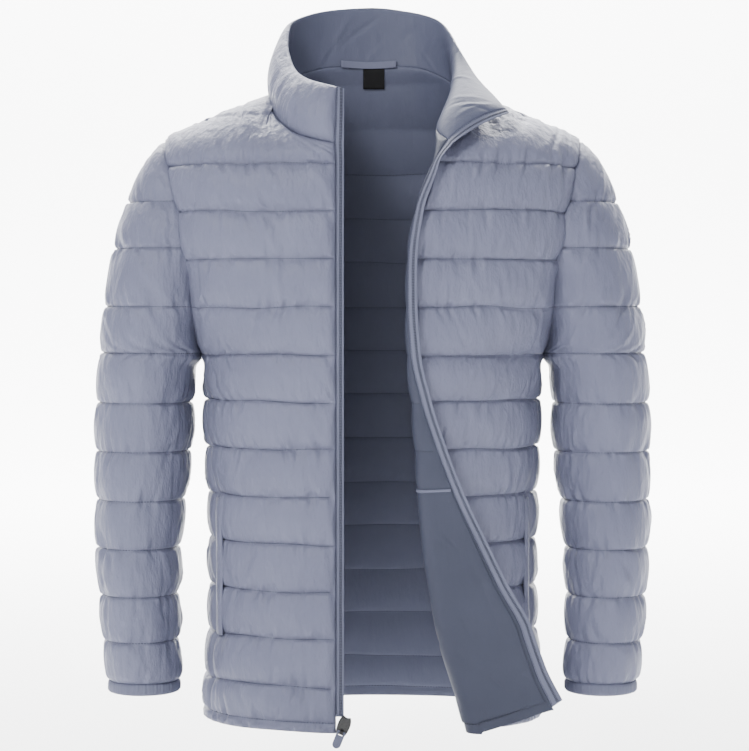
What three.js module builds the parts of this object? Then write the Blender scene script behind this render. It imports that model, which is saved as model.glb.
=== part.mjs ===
// A puffer jacket, filled out as if worn, with its front zip open and the left front rolled outwards.
// Millimetres, +Z up. The jacket faces -Y, and +X is the wearer's left.
// The origin is at the base of the neck, midway between the shoulders.
// Each cloth piece is a wall: a plain inside, and an outside that is raised between the lines of quilting.
// The tables give the inside of the cloth.
import * as THREE from "three";

// Lines of quilting, and the rows of points between them
const FIRST_LINE_Z = -67;
const LINE_PITCH = 52.4;
const STEPS = 4; // rows from one line to the next
const UNDERARM_Z = FIRST_LINE_Z - 4 * LINE_PITCH;
const HEM_STITCH_Z = -681;
const HEM_Z = -692;
const HEM_ROWS = [-655, -667, HEM_STITCH_Z, -686, HEM_Z];
const SLEEVE_CAP_LINES = [-28, -106.3, -158.7, -224.2];
const SLEEVE_LINES = [UNDERARM_Z, -333, -388, -443, -497, -550, -601, -647];
const CUFF_END_Z = -660;

// Above the first line, the body's rows fan out to the neck and the shoulders.
const BAND_ROWS = 8;
const SHOULDER = { x: 238, y: 5, z: -39 };
const SHOULDER_COLUMNS = 5;
const NECK_COLUMNS = 4;
const FRONT_COLUMNS = SHOULDER_COLUMNS + NECK_COLUMNS;
const ROLL_COLUMNS = 4;
const FLAP_COLUMNS = 3;
const BACK_NECK_COLUMNS = 12;
const SLEEVE_COLUMNS = 20;
const COLLAR_ROWS = 8;

// Padding
const WALL = 3.6; // thickness at a seam or a line of quilting
const BODY_PUFF = 8;
const SLEEVE_PUFF = 6.5;
const COLLAR_PUFF = 9;
const FILL_REACH = 20; // distance from a seam at which the padding is full
const SEAM_GAP = 0.3;
const CROWDED_WALL = 1; // thickness in the angle under the arm or under the folded collar,
const CROWDED_RISE = 0.2; // and how fast it grows away from the seam there

// Zip
const ZIP_SEAM_X = -40; // where the right front meets its zip tape
const TAPE_WIDTH = 8.6;
const LEFT_TAPE_WIDTH = 11.3;
const TAPE_THICKNESS = 1.6;

// Inside of half of the body: half width, depth of front and back, how far round the outline turns in
// degrees, and where on the front's outline the side seam is
const BODY = [
  { z: -67, half: 196, front: 119, back: 112, bend: 62, seam: 1 },
  { z: -119, half: 196, front: 131, back: 121, bend: 64, seam: 1 },
  { z: -172, half: 196, front: 138, back: 124, bend: 68, seam: 1 },
  { z: -224, half: 196, front: 142, back: 122, bend: 74, seam: 1 },
  { z: UNDERARM_Z, half: 196, front: 143, back: 119, bend: 74, seam: 1 },
  { z: -290, half: 188, front: 142.5, back: 118, bend: 80, seam: 0.98 },
  { z: -303, half: 186, front: 142, back: 117, bend: 85, seam: 0.95 },
  { z: -363, half: 185, front: 139, back: 113, bend: 90, seam: 0.86 },
  { z: -441, half: 181, front: 136, back: 110, bend: 90, seam: 0.8 },
  { z: -547, half: 180, front: 137, back: 116, bend: 90, seam: 0.79 },
  { z: -643, half: 185, front: 141, back: 123, bend: 90, seam: 0.8 },
  { z: HEM_Z, half: 190, front: 144, back: 126, bend: 90, seam: 0.8 },
];

// Inside of a sleeve: an ellipse from its outer to its inner side, and the angle at which the armhole cuts it
const SLEEVE = [
  { z: -39, outer: 238.5, inner: 237.5, y: 5, deep: 0.5, open: 92 },
  { z: -46, outer: 243, inner: 226.6, y: 5, deep: 20, open: 92 },
  { z: -64, outer: 256, inner: 206.4, y: 5, deep: 38, open: 94 },
  { z: -99, outer: 274, inner: 178.2, y: 4, deep: 56.6, open: 98 },
  { z: -130, outer: 283, inner: 168.8, y: 2, deep: 67.7, open: 103 },
  { z: -160, outer: 291, inner: 165, y: 0, deep: 73.6, open: 108 },
  { z: -192, outer: 296, inner: 172, y: -1, deep: 77, open: 118 },
  { z: -224, outer: 302, inner: 182, y: -2, deep: 77, open: 131 },
  { z: -250, outer: 304, inner: 194, y: -3, deep: 76, open: 150 },
  { z: -268, outer: 305.5, inner: 196, y: -3.3, deep: 76, open: 163 },
  { z: UNDERARM_Z, outer: 306, inner: 196, y: -3.5, deep: 75, open: 180 },
  { z: -290, outer: 307, inner: 208, y: -4, deep: 74, open: 180 },
  { z: -303, outer: 308, inner: 211, y: -4.5, deep: 73, open: 180 },
  { z: -363, outer: 311.5, inner: 212, y: -8, deep: 68, open: 180 },
  { z: -447, outer: 310, inner: 220, y: -18, deep: 62, open: 180 },
  { z: -500, outer: 309, inner: 225, y: -24, deep: 58, open: 180 },
  { z: -553, outer: 305, inner: 226, y: -30, deep: 55, open: 180 },
  { z: -604, outer: 300.5, inner: 226, y: -36, deep: 50, open: 180 },
  { z: -647, outer: 296.5, inner: 222.5, y: -41, deep: 44, open: 180 },
  { z: -661, outer: 296.5, inner: 222.5, y: -42, deep: 44, open: 180 },
];

// Collar, from the right front's zip edge round the back to the left front's zip edge:
// its neck seam, its top edge, how far its middle bulges, and the way that the neck seam's thickness faces
const COLLAR = [
  { at: -0.25, seam: [-31.4, -112, -46], top: [-31.4, -98, 17], bulge: [0, 0, 0], face: [0, -1, 0.2] },
  { at: 0, seam: [-41, -110, -45], top: [-39, -96, 19], bulge: [0, -2, 0], face: [0, -1, 0.2] },
  { at: 1, seam: [-80, -93, -35], top: [-72, -72, 30], bulge: [-1, -4, 0], face: [-0.35, -0.9, 0.25] },
  { at: 2, seam: [-104, -58, -14], top: [-88, -38, 46], bulge: [-3, -3, 0], face: [-0.75, -0.5, 0.45] },
  { at: 3, seam: [-112, -8, 11], top: [-97, 8, 80], bulge: [-4, 0, 0], face: [-0.75, 0, 0.66] },
  { at: 4, seam: [-104, 30, 32], top: [-95, 38, 103], bulge: [-3, 2, 0], face: [-0.65, 0.4, 0.6] },
  { at: 5, seam: [-80, 60, 49], top: [-74, 66, 118], bulge: [-2, 3, 0], face: [-0.45, 0.75, 0.45] },
  { at: 6, seam: [-45, 78, 58], top: [-42, 82, 126], bulge: [-1, 4, 0], face: [-0.2, 0.9, 0.4] },
  { at: 7, seam: [0, 84, 60], top: [0, 88, 129], bulge: [0, 4, 0], face: [0, 0.93, 0.36] },
  { at: 8, seam: [45, 78, 58], top: [40, 82, 124], bulge: [1, 4, 0], face: [0.2, 0.9, 0.4] },
  { at: 9, seam: [76, 58, 47], top: [75, 63, 112], bulge: [1, 3, 1], face: [0.45, 0.75, 0.45] },
  { at: 10, seam: [98, 26, 26], top: [98, 30, 78], bulge: [-4, 0, 4], face: [0.65, 0.4, 0.6] },
  { at: 11, seam: [90, -22, 6], top: [120, -20, 36], bulge: [-9, -3, 11], face: [0.85, -0.1, 0.5] },
  { at: 12, seam: [71, -84, -26], top: [138, -55, 12], bulge: [-5, -5, 10], face: [0.95, -0.1, 0.2] },
  { at: 13, seam: [88, -122, -44], top: [152, -85, -8], bulge: [-1, -2, 3], face: [0.85, 0.45, 0.2] },
];
const RIGHT_NECK_POINT = 3; // where the right shoulder seam meets the collar
const LEFT_NECK_POINT = 10.4;
const LEFT_ROLL_START = 12;
const LEFT_TAPE_START = 12.75;
const ZIP_EDGE_RIGHT = -0.25;
const ZIP_EDGE_LEFT = 13;

// Left front: where it starts to roll outwards, the roll's radius and turn in degrees, the length of the
// flap beyond the roll, and how far the flap's end has risen
const ROLL = [
  { z: -67, fold: 66, radius: 9, turn: 120, flap: 10, lift: 0 },
  { z: -119, fold: 47, radius: 8, turn: 165, flap: 3, lift: 0 },
  { z: -172, fold: 38, radius: 8, turn: 180, flap: 3, lift: 0 },
  { z: -224, fold: 37, radius: 8, turn: 180, flap: 4, lift: 0 },
  { z: UNDERARM_Z, fold: 38, radius: 8, turn: 180, flap: 7, lift: 0 },
  { z: -329, fold: 43, radius: 9, turn: 180, flap: 13, lift: 0 },
  { z: -381, fold: 47, radius: 10, turn: 180, flap: 25, lift: 0 },
  { z: -434, fold: 51, radius: 11, turn: 180, flap: 40, lift: 2 },
  { z: -486, fold: 56, radius: 12, turn: 182, flap: 57, lift: 5 },
  { z: -539, fold: 64, radius: 13, turn: 183, flap: 72, lift: 9 },
  { z: -591, fold: 74, radius: 14, turn: 184, flap: 86, lift: 15 },
  { z: -643, fold: 90, radius: 15, turn: 185, flap: 84, lift: 24 },
  { z: HEM_Z, fold: 103, radius: 16, turn: 186, flap: 90, lift: 33 },
];

const vec = (x, y, z) => new THREE.Vector3(x, y, z);
const mix = (a, b, share) => a + (b - a) * share;
const radians = THREE.MathUtils.degToRad;
const count = (n) => Array.from({ length: n }, (_, i) => i);

// A smooth curve through the numbers of a table, without overshoot
function smoothCurve(at, values) {
  const slope = values.map((_, i) => {
    if (i === 0 || i === values.length - 1) return null;
    const before = (values[i] - values[i - 1]) / (at[i] - at[i - 1]);
    const after = (values[i + 1] - values[i]) / (at[i + 1] - at[i]);
    return before * after <= 0 ? 0 : (2 * before * after) / (before + after);
  });
  return (x) => {
    let i = 0;
    while (i < at.length - 2 && x > at[i + 1]) i += 1;
    const span = at[i + 1] - at[i];
    const s = Math.min(Math.max((x - at[i]) / span, 0), 1);
    const rise = values[i + 1] - values[i];
    const start = slope[i] === null ? rise : slope[i] * span;
    const end = slope[i + 1] === null ? rise : slope[i + 1] * span;
    return values[i] + s * (start + s * (3 * rise - 2 * start - end + s * (start + end - 2 * rise)));
  };
}

// Turns a table into one smooth curve per column. order gives a row's place, which rises down the table.
function curves(rows, order) {
  const at = rows.map(order);
  const curveOf = (name) => {
    if (!Array.isArray(rows[0][name])) return smoothCurve(at, rows.map((row) => row[name]));
    const parts = [0, 1, 2].map((axis) => smoothCurve(at, rows.map((row) => row[name][axis])));
    return (x) => vec(...parts.map((part) => part(x)));
  };
  return Object.fromEntries(Object.keys(rows[0]).map((name) => [name, curveOf(name)]));
}

const belowShoulder = (z) => Math.sqrt(Math.max(SHOULDER.z - z, 0)); // opens out the round top of the sleeve
const body = curves(BODY, (row) => -row.z);
const sleeve = curves(SLEEVE, (row) => belowShoulder(row.z));
const collar = curves(COLLAR, (row) => row.at);
const roll = curves(ROLL, (row) => -row.z);

// side is -1 for the wearer's right and 1 for the left; face is -1 for the front and 1 for the back.
function sleevePoint(side, z, angle) {
  const t = belowShoulder(z);
  const [outer, inner] = [sleeve.outer(t), sleeve.inner(t)];
  const x = (outer + inner) / 2 + ((outer - inner) / 2) * Math.cos(angle);
  return vec(side * x, sleeve.y(t) + sleeve.deep(t) * Math.sin(angle), z);
}

const armholePoint = (side, face, z) => sleevePoint(side, z, face * radians(sleeve.open(belowShoulder(z))));

// A point on the body's outline at a level: share is 0 at the middle and 1 at the side.
function outlinePoint(side, face, z, share) {
  const end = z >= UNDERARM_Z ? armholePoint(side, face, z) : vec(side * body.half(-z), -3.5, z);
  const depth = face * (face < 0 ? body.front(-z) : body.back(-z));
  const bend = radians(body.bend(-z));
  const angle = share * bend;
  const fall = (Math.cos(angle) - Math.cos(bend)) / (1 - Math.cos(bend));
  return vec((end.x * Math.sin(angle)) / Math.sin(bend), mix(end.y, depth, Math.max(fall, 0) ** 0.85), z);
}

const outline = (side, face, z, from, to) =>
  count(121).map((i) => outlinePoint(side, face, z, mix(from, to, i / 120)));

function lengthOf(line) {
  return line.slice(1).reduce((sum, point, i) => sum + point.distanceTo(line[i]), 0);
}

// The point a given length along a line
function pointAt(line, length) {
  let left = length;
  for (let i = 1; i < line.length; i += 1) {
    const step = line[i].distanceTo(line[i - 1]);
    if (left <= step || i === line.length - 1) return line[i - 1].clone().lerp(line[i], left / (step || 1));
    left -= step;
  }
  return line[0].clone();
}

// columns + 1 points at even steps along a line, from one length to another
const spaced = (line, columns, from = 0, to = lengthOf(line)) =>
  count(columns + 1).map((i) => pointAt(line, mix(from, to, i / columns)));

// The part of a front's outline from its side seam to a distance from the middle
function frontOutline(side, z, stopX) {
  const line = outline(side, -1, z, body.seam(-z), 0);
  const beyond = line.findIndex((point) => side * point.x < stopX);
  const [a, b] = [line[beyond - 1], line[beyond]];
  const end = a.clone().lerp(b, (a.x * side - stopX) / (side * (a.x - b.x)));
  return [...line.slice(0, beyond), end];
}

// Rows run from the side to the zip edge, and end with the zip tape's own column.
function rightFrontRow(z) {
  const row = spaced(frontOutline(-1, z, -ZIP_SEAM_X), FRONT_COLUMNS);
  const edge = row[FRONT_COLUMNS].clone().add(vec(TAPE_WIDTH, -0.2, 0));
  return [...row, edge];
}

function leftFrontRow(z) {
  const radius = roll.radius(-z);
  const flat = frontOutline(1, z, roll.fold(-z) + radius);
  const start = flat[flat.length - 1];
  const turn = radians(roll.turn(-z));
  const round = count(33).map((i) => {
    const angle = Math.PI / 2 + (turn * i) / 32;
    return vec(start.x + radius * Math.cos(angle), start.y - radius + radius * Math.sin(angle), z);
  });
  const way = vec(-Math.cos(turn), -Math.sin(turn), 0);
  const line = [...round, round[32].clone().addScaledVector(way, roll.flap(-z))];
  const whole = lengthOf(line);
  const cloth = whole - LEFT_TAPE_WIDTH;
  const bent = Math.min(radius * turn, cloth * 0.75);
  const row = [
    ...spaced(flat, FRONT_COLUMNS),
    ...spaced(line, ROLL_COLUMNS, 0, bent).slice(1),
    ...spaced(line, FLAP_COLUMNS, bent, cloth).slice(1),
    pointAt(line, whole),
  ];
  row.slice(FRONT_COLUMNS + ROLL_COLUMNS).forEach((point, i) => {
    point.z += (roll.lift(-z) * (i + 0.3)) / (FLAP_COLUMNS + 1.3);
  });
  return row;
}

function backRow(z) {
  const half = (side) => [
    ...(z < UNDERARM_Z ? outline(side, -1, z, body.seam(-z), 1).slice(0, -1) : []),
    ...outline(side, 1, z, 1, 0),
  ];
  const columns = SHOULDER_COLUMNS + BACK_NECK_COLUMNS / 2;
  const left = spaced(half(1), columns);
  return [...spaced(half(-1), columns), ...left.reverse().slice(1)];
}

const armholeLevel = (row) => mix(SHOULDER.z, FIRST_LINE_Z, (row / BAND_ROWS) ** 1.6);
const STRAIGHT_LEVELS = count(11 * STEPS).map((i) => FIRST_LINE_Z - ((i + 1) * LINE_PITCH) / STEPS);
const LEVELS_BELOW = [...STRAIGHT_LEVELS, ...HEM_ROWS];
const UNDERARM_ROW = BAND_ROWS + 4 * STEPS;
const LAST_LINE_ROW = BAND_ROWS + 11 * STEPS;

// Where a panel's top edge runs: along the shoulder seam, then along the neck
function shoulderPoint(side, share) {
  const neck = collar.seam(side < 0 ? RIGHT_NECK_POINT : LEFT_NECK_POINT);
  const point = vec(side * SHOULDER.x, SHOULDER.y, SHOULDER.z).lerp(neck, share);
  point.z += 2.5 * Math.sin(Math.PI * share);
  return { point, shoulder: share };
}

const neckPoint = (at) => ({ point: collar.seam(at), at });
const shoulderTop = (side) =>
  count(SHOULDER_COLUMNS).map((i) => shoulderPoint(side, i / SHOULDER_COLUMNS));
const neckTop = (from, to, columns) =>
  count(columns + 1).map((i) => neckPoint(mix(from, to, i / columns)));

const TURNED_COLUMNS = ROLL_COLUMNS + FLAP_COLUMNS;
const rightFrontTop = [
  ...shoulderTop(-1),
  ...neckTop(RIGHT_NECK_POINT, 0, NECK_COLUMNS),
  neckPoint(ZIP_EDGE_RIGHT),
];
const leftFrontTop = [
  ...shoulderTop(1),
  ...neckTop(LEFT_NECK_POINT, LEFT_ROLL_START, NECK_COLUMNS),
  ...neckTop(LEFT_ROLL_START, LEFT_TAPE_START, TURNED_COLUMNS).slice(1),
  neckPoint(ZIP_EDGE_LEFT),
];
const backTop = [
  ...shoulderTop(-1),
  ...neckTop(RIGHT_NECK_POINT, LEFT_NECK_POINT, BACK_NECK_COLUMNS),
  ...shoulderTop(1).reverse(),
];

// One column of the part above the first line, as a smooth curve from that line to the top edge
function bandColumn(low, lower, top, face) {
  const rise = low.clone().sub(lower).normalize();
  const reach = top.point.distanceTo(low);
  const straight = top.point.clone().sub(low).normalize();
  const over = top.at === undefined ? vec(0, -face, 0.1) : straight;
  return count(BAND_ROWS + 1).map((row) => {
    const s = 1 - row / BAND_ROWS;
    const point = low.clone().multiplyScalar(1 - 3 * s * s + 2 * s ** 3);
    point.addScaledVector(rise, reach * (s - 2 * s * s + s ** 3));
    point.addScaledVector(top.point, 3 * s * s - 2 * s ** 3);
    return point.addScaledVector(over, reach * (s ** 3 - s * s));
  });
}

// The whole grid of a body panel. armholes gives the columns that follow an armhole, with their sides.
function panelGrid({ rowAt, top, face, armholes }) {
  const first = rowAt(FIRST_LINE_Z);
  const second = rowAt(LEVELS_BELOW[0]);
  const band = first.map((low, c) => bandColumn(low, second[c], top[c], face));
  const grid = count(BAND_ROWS).map((row) => band.map((column) => column[row]));
  armholes.forEach(({ column, side }) => {
    grid.forEach((points, row) => {
      if (row) points[column] = armholePoint(side, face, armholeLevel(row));
    });
  });
  return [...grid, first, ...LEVELS_BELOW.map(rowAt)];
}

const CAP_LEVELS = [...count(BAND_ROWS + 1).map(armholeLevel), ...STRAIGHT_LEVELS.slice(0, 4 * STEPS)];
const SLEEVE_LEVELS = SLEEVE_LINES.slice(1).flatMap((z, i) =>
  count(STEPS).map((step) => mix(SLEEVE_LINES[i], z, (step + 1) / STEPS)),
);

function sleeveGrid(side) {
  return [...CAP_LEVELS, ...SLEEVE_LEVELS].map((z, row) => {
    const open = radians(row > UNDERARM_ROW ? 180 : sleeve.open(belowShoulder(z)));
    return count(SLEEVE_COLUMNS + 1).map((c) => {
      if (row === 0) return vec(side * (SHOULDER.x + SEAM_GAP), SHOULDER.y, SHOULDER.z);
      const point = sleevePoint(side, z, mix(-open, open, c / SLEEVE_COLUMNS));
      if (row === UNDERARM_ROW && c % SLEEVE_COLUMNS === 0) point.x += side * SEAM_GAP;
      return point;
    });
  });
}

// How full the padding is at a height between lines of quilting: 0 on a line and 1 halfway
function fullness(lines, z) {
  const below = Math.max(lines.findIndex((line) => line < z - 0.01), 1);
  const [high, low] = [lines[below - 1], lines[below]];
  const part = Math.min(Math.max((high - z) / (high - low), 0), 1);
  return Math.min((high - low) / 45, 1) * Math.max(Math.sin(Math.PI * part), 0) ** 0.7;
}

const BODY_LINES = [
  ...count(15).map((i) => FIRST_LINE_Z + (3 - i) * LINE_PITCH),
  HEM_STITCH_Z,
  HEM_Z - 0.5,
];

// Padding rounds off towards a seam.
const rounding = (distance) => Math.sqrt(1 - (1 - Math.min(distance / FILL_REACH, 1)) ** 2);
const nearest = (point, others) => Math.min(...others.map((other) => other.distanceTo(point)));
const lowerArmhole = (side) =>
  [-1, 1].flatMap((face) => count(8).map((i) => armholePoint(side, face, mix(-190, UNDERARM_Z, i / 7))));

const foldedNeck = count(13).map((i) => collar.seam(mix(LEFT_NECK_POINT + 0.3, ZIP_EDGE_LEFT, i / 12)));

// Unit vectors at right angles to a grid. joined says from which row the first and last columns meet.
function normalsOf(grid, sign, joined = Infinity) {
  const last = grid[0].length - 1;
  return grid.map((row, r) => row.map((_, c) => {
    const meets = r >= joined && c % last === 0;
    const next = row[meets ? 1 : Math.min(c + 1, last)];
    const before = row[meets ? last - 1 : Math.max(c - 1, 0)];
    const down = grid[Math.min(r + 1, grid.length - 1)][c].clone().sub(grid[Math.max(r - 1, 0)][c]);
    return next.clone().sub(before).cross(down).normalize().multiplyScalar(sign);
  }));
}

// The way that the thickness faces at each seam, shared by the two pieces that meet there
function armholeFace(point) {
  const middle = sleeve.y(belowShoulder(point.z));
  return vec(0, (point.y - middle) / 72 ** 2, (point.z + 157) / 120 ** 2).normalize();
}

function sideSeamFace(side, z) {
  const at = body.seam(-z);
  const along = outlinePoint(side, -1, z, at).sub(outlinePoint(side, -1, z, at - 0.02));
  return vec(side * Math.abs(along.y), -Math.abs(along.x), 0).normalize();
}

function topFace(top) {
  if (top.at !== undefined) return collar.face(top.at).normalize();
  const neck = collar.face(top.point.x < 0 ? RIGHT_NECK_POINT : LEFT_NECK_POINT).normalize();
  return vec(0, 0, 1).lerp(neck, top.shoulder).normalize();
}

// Moves a seam's points back from it, towards the next points of their own piece.
function drawIn(points, next, distance = SEAM_GAP / 2) {
  points.forEach((point, i) => {
    const way = next[i].clone().sub(point);
    if (way.length() > 0.01) point.addScaledVector(way.normalize(), distance);
  });
}

const columnOf = (grid, c) => grid.map((row) => row[c]);
const copyOf = (grid) => grid.map((row) => row.map((point) => point.clone()));
const offset = (grid, faces, distanceAt) =>
  grid.map((row, r) => row.map((point, c) => point.clone().addScaledVector(faces[r][c], distanceAt(r, c))));

// Which rows the plain inside keeps
const CAP_MAIN = [...count(BAND_ROWS / 2).map((i) => 2 * i), ...count(9).map((i) => BAND_ROWS + 2 * i)];
const LOW_MAIN = count(7).map((i) => UNDERARM_ROW + STEPS * (i + 1));
const BODY_MAIN = [...CAP_MAIN, ...LOW_MAIN, LAST_LINE_ROW + 3, LAST_LINE_ROW + 5];
const SLEEVE_MAIN = [...CAP_MAIN, ...LOW_MAIN];

// A closed wall between an inside grid and an outside one. main gives the rows that the inside keeps.
function wallGeometry(inside, outside, main, joined = Infinity) {
  const inner = main.map((row) => inside[row]);
  const end = outside[0].length - 1;
  const bottom = outside.length - 1;
  const points = [];
  const add = (a, b, c) => {
    const shortest = Math.min(a.distanceTo(b), b.distanceTo(c), c.distanceTo(a));
    if (shortest > 2e-3) points.push(a, b, c);
  };
  for (let r = 0; r < bottom; r += 1) {
    for (let c = 0; c < end; c += 1) {
      add(outside[r][c], outside[r][c + 1], outside[r + 1][c + 1]);
      add(outside[r][c], outside[r + 1][c + 1], outside[r + 1][c]);
    }
  }
  for (let r = 0; r < inner.length - 1; r += 1) {
    for (let c = 0; c < end; c += 1) {
      add(inner[r][c], inner[r + 1][c + 1], inner[r][c + 1]);
      add(inner[r][c], inner[r + 1][c], inner[r + 1][c + 1]);
    }
  }
  // A rim is cut along its shorter diagonals, so that two pieces that meet at a seam are cut alike.
  const rim = (a, b, c, d) => {
    const first = a.distanceTo(c) <= b.distanceTo(d);
    add(a, b, first ? c : d);
    add(first ? a : b, c, d);
  };
  const low = inner[inner.length - 1];
  for (let c = 0; c < end; c += 1) {
    rim(outside[0][c + 1], outside[0][c], inner[0][c], inner[0][c + 1]);
    rim(outside[bottom][c], outside[bottom][c + 1], low[c + 1], low[c]);
  }
  for (let i = 0; i < main.length - 1; i += 1) {
    const [from, to] = [main[i], main[i + 1]];
    if (from >= joined) break;
    for (let r = from; r < to; r += 1) {
      add(inner[i][0], outside[r][0], outside[r + 1][0]);
      add(inner[i][end], outside[r + 1][end], outside[r][end]);
    }
    add(inner[i][0], outside[to][0], inner[i + 1][0]);
    add(inner[i][end], inner[i + 1][end], outside[to][end]);
  }
  return facingOut(points);
}

function facingOut(points) {
  const volume = count(points.length / 3).reduce((sum, i) => {
    const [a, b, c] = points.slice(3 * i, 3 * i + 3);
    return sum + a.dot(b.clone().cross(c));
  }, 0);
  const ordered = volume < 0 ? [...points].reverse() : points;
  return new THREE.BufferGeometry().setFromPoints(ordered);
}

const jacket = new THREE.Group();
jacket.name = "puffer_jacket";

function add(name, geometry, { color, roughness, metalness = 0 }) {
  geometry.computeVertexNormals();
  const mesh = new THREE.Mesh(geometry, new THREE.MeshStandardMaterial({ color, roughness, metalness }));
  mesh.name = name;
  jacket.add(mesh);
}

const SHELL = { color: 0x9498ac, roughness: 0.45 };
const TRIM = { color: 0x8488a0, roughness: 0.75 };
const LINING = { color: 0x6b7087, roughness: 0.6 };
const BLACK_METAL = { color: 0x151517, roughness: 0.35, metalness: 0.8 };
const BLACK_CLOTH = { color: 0x151517, roughness: 0.8 };

// A body panel's grid, with the way that its thickness faces at each point
function panel(piece) {
  const base = panelGrid(piece);
  const sample = normalsOf(base, 1)[UNDERARM_ROW][Math.round(piece.top.length / 4)];
  const normals = normalsOf(base, Math.sign(sample.y * piece.face));
  normals[0] = piece.top.map(topFace);
  piece.armholes.forEach(({ column, side }) => {
    base.forEach((row, r) => {
      const point = row[column];
      normals[r][column] = r <= UNDERARM_ROW ? armholeFace(point) : sideSeamFace(side, point.z);
    });
    normals[0][column] = vec(0, 0, 1);
  });
  return { ...piece, base, normals };
}

// Gives a panel its padded outside. columns leaves out the zip tape's column.
function pad(piece, columns) {
  const base = copyOf(piece.base.map((row) => row.slice(0, columns + 1)));
  const seams = [...base[0], ...columnOf(base, 0), ...columnOf(base, columns)];
  const lower = [...piece.armholes.flatMap(({ side }) => lowerArmhole(side)), ...(piece.crowded ?? [])];
  const thick = base.map((row, r) => row.map((point, c) => {
    if (r === 0 || c === 0 || c === columns) return WALL;
    const fill = rounding(nearest(point, seams)) * fullness(BODY_LINES, point.z);
    const room = CROWDED_WALL + CROWDED_RISE * nearest(point, lower);
    return Math.min(WALL + BODY_PUFF * fill, room, piece.limit ? piece.limit(c, point) : room);
  }));
  drawIn(base[0], base[1]);
  drawIn(columnOf(base, 0), columnOf(base, 1));
  drawIn(columnOf(base, columns), columnOf(base, columns - 1));
  return { base, outside: offset(base, piece.normals, (r, c) => thick[r][c]) };
}

// Back
const back = panel({
  rowAt: backRow,
  top: backTop,
  face: 1,
  armholes: [{ column: 0, side: -1 }, { column: backTop.length - 1, side: 1 }],
});
const backCloth = pad(back, backTop.length - 1);
add("back", wallGeometry(backCloth.base, backCloth.outside, BODY_MAIN), SHELL);

// Fronts
const rightFront = panel({
  rowAt: rightFrontRow,
  top: rightFrontTop,
  face: -1,
  armholes: [{ column: 0, side: -1 }],
});
const rightCloth = pad(rightFront, FRONT_COLUMNS);
add("front_right", wallGeometry(rightCloth.base, rightCloth.outside, BODY_MAIN), SHELL);

const leftFront = panel({
  rowAt: leftFrontRow,
  top: leftFrontTop,
  face: -1,
  armholes: [{ column: 0, side: 1 }],
  crowded: foldedNeck,
  limit: (column, point) => (column > FRONT_COLUMNS ? 0.62 : 1.3) * roll.radius(-point.z),
});
const leftCloth = pad(leftFront, FRONT_COLUMNS + TURNED_COLUMNS);
add("front_left", wallGeometry(leftCloth.base, leftCloth.outside, BODY_MAIN), SHELL);

// Sleeves and cuffs
function ellipseFace(side, point) {
  const t = belowShoulder(point.z);
  const [outer, inner] = [sleeve.outer(t), sleeve.inner(t)];
  const x = (point.x - (side * (outer + inner)) / 2) / ((outer - inner) / 2) ** 2;
  return vec(x, (point.y - sleeve.y(t)) / sleeve.deep(t) ** 2, 0).normalize();
}

function sleeveGeometry(side) {
  const base = sleeveGrid(side);
  const bottom = base.length - 1;
  const last = SLEEVE_COLUMNS;
  const isSeam = (r, c) => r === 0 || (r <= UNDERARM_ROW && c % last === 0);
  const sample = normalsOf(base, 1)[UNDERARM_ROW][last / 2];
  const normals = normalsOf(base, Math.sign(sample.x * side), UNDERARM_ROW).map((row, r) =>
    row.map((normal, c) => {
      if (r === 0) return vec(0, 0, 1);
      if (r === bottom) return ellipseFace(side, base[r][c]);
      return isSeam(r, c) ? armholeFace(base[r][c]) : normal;
    }));
  const armhole = [-1, 1].flatMap((face) => CAP_LEVELS.map((z) => armholePoint(side, face, z)));
  const lower = lowerArmhole(side);
  const lines = [...SLEEVE_CAP_LINES, ...SLEEVE_LINES];
  const thick = base.map((row, r) => row.map((point, c) => {
    if (isSeam(r, c)) return WALL;
    const fill = rounding(nearest(point, armhole)) * fullness(lines, point.z);
    return Math.min(WALL + SLEEVE_PUFF * fill, CROWDED_WALL + CROWDED_RISE * nearest(point, lower));
  }));
  base.slice(1, UNDERARM_ROW).forEach((row) => drawIn([row[0], row[last]], [row[1], row[last - 1]]));
  base[bottom].forEach((point) => {
    point.z += SEAM_GAP / 2;
  });
  return wallGeometry(base, offset(base, normals, (r, c) => thick[r][c]), SLEEVE_MAIN, UNDERARM_ROW);
}

function cuffGeometry(side) {
  const top = SLEEVE_LINES[SLEEVE_LINES.length - 1] - SEAM_GAP / 2;
  const base = [top, (top + CUFF_END_Z) / 2, CUFF_END_Z].map((z) =>
    count(SLEEVE_COLUMNS + 1).map((c) => sleevePoint(side, z, mix(-Math.PI, Math.PI, c / SLEEVE_COLUMNS))));
  const faces = base.map((row) => row.map((point) => ellipseFace(side, point)));
  return wallGeometry(base, offset(base, faces, () => WALL), [0, 1, 2], 0);
}

for (const [name, side] of [["right", -1], ["left", 1]]) {
  add(`sleeve_${name}`, sleeveGeometry(side), SHELL);
  add(`cuff_${name}`, cuffGeometry(side), TRIM);
}

// Collar: its columns meet those of the body's panels.
const collarStations = [
  ZIP_EDGE_RIGHT,
  ...rightFrontTop.slice(SHOULDER_COLUMNS, -1).reverse().map((top) => top.at),
  ...backTop.slice(SHOULDER_COLUMNS + 1, SHOULDER_COLUMNS + BACK_NECK_COLUMNS).map((top) => top.at),
  ...leftFrontTop.slice(SHOULDER_COLUMNS).map((top) => top.at),
];

function collarPoint(at, share) {
  const point = collar.seam(at).lerp(collar.top(at), share);
  return point.addScaledVector(collar.bulge(at), 4 * share * (1 - share));
}

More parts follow.
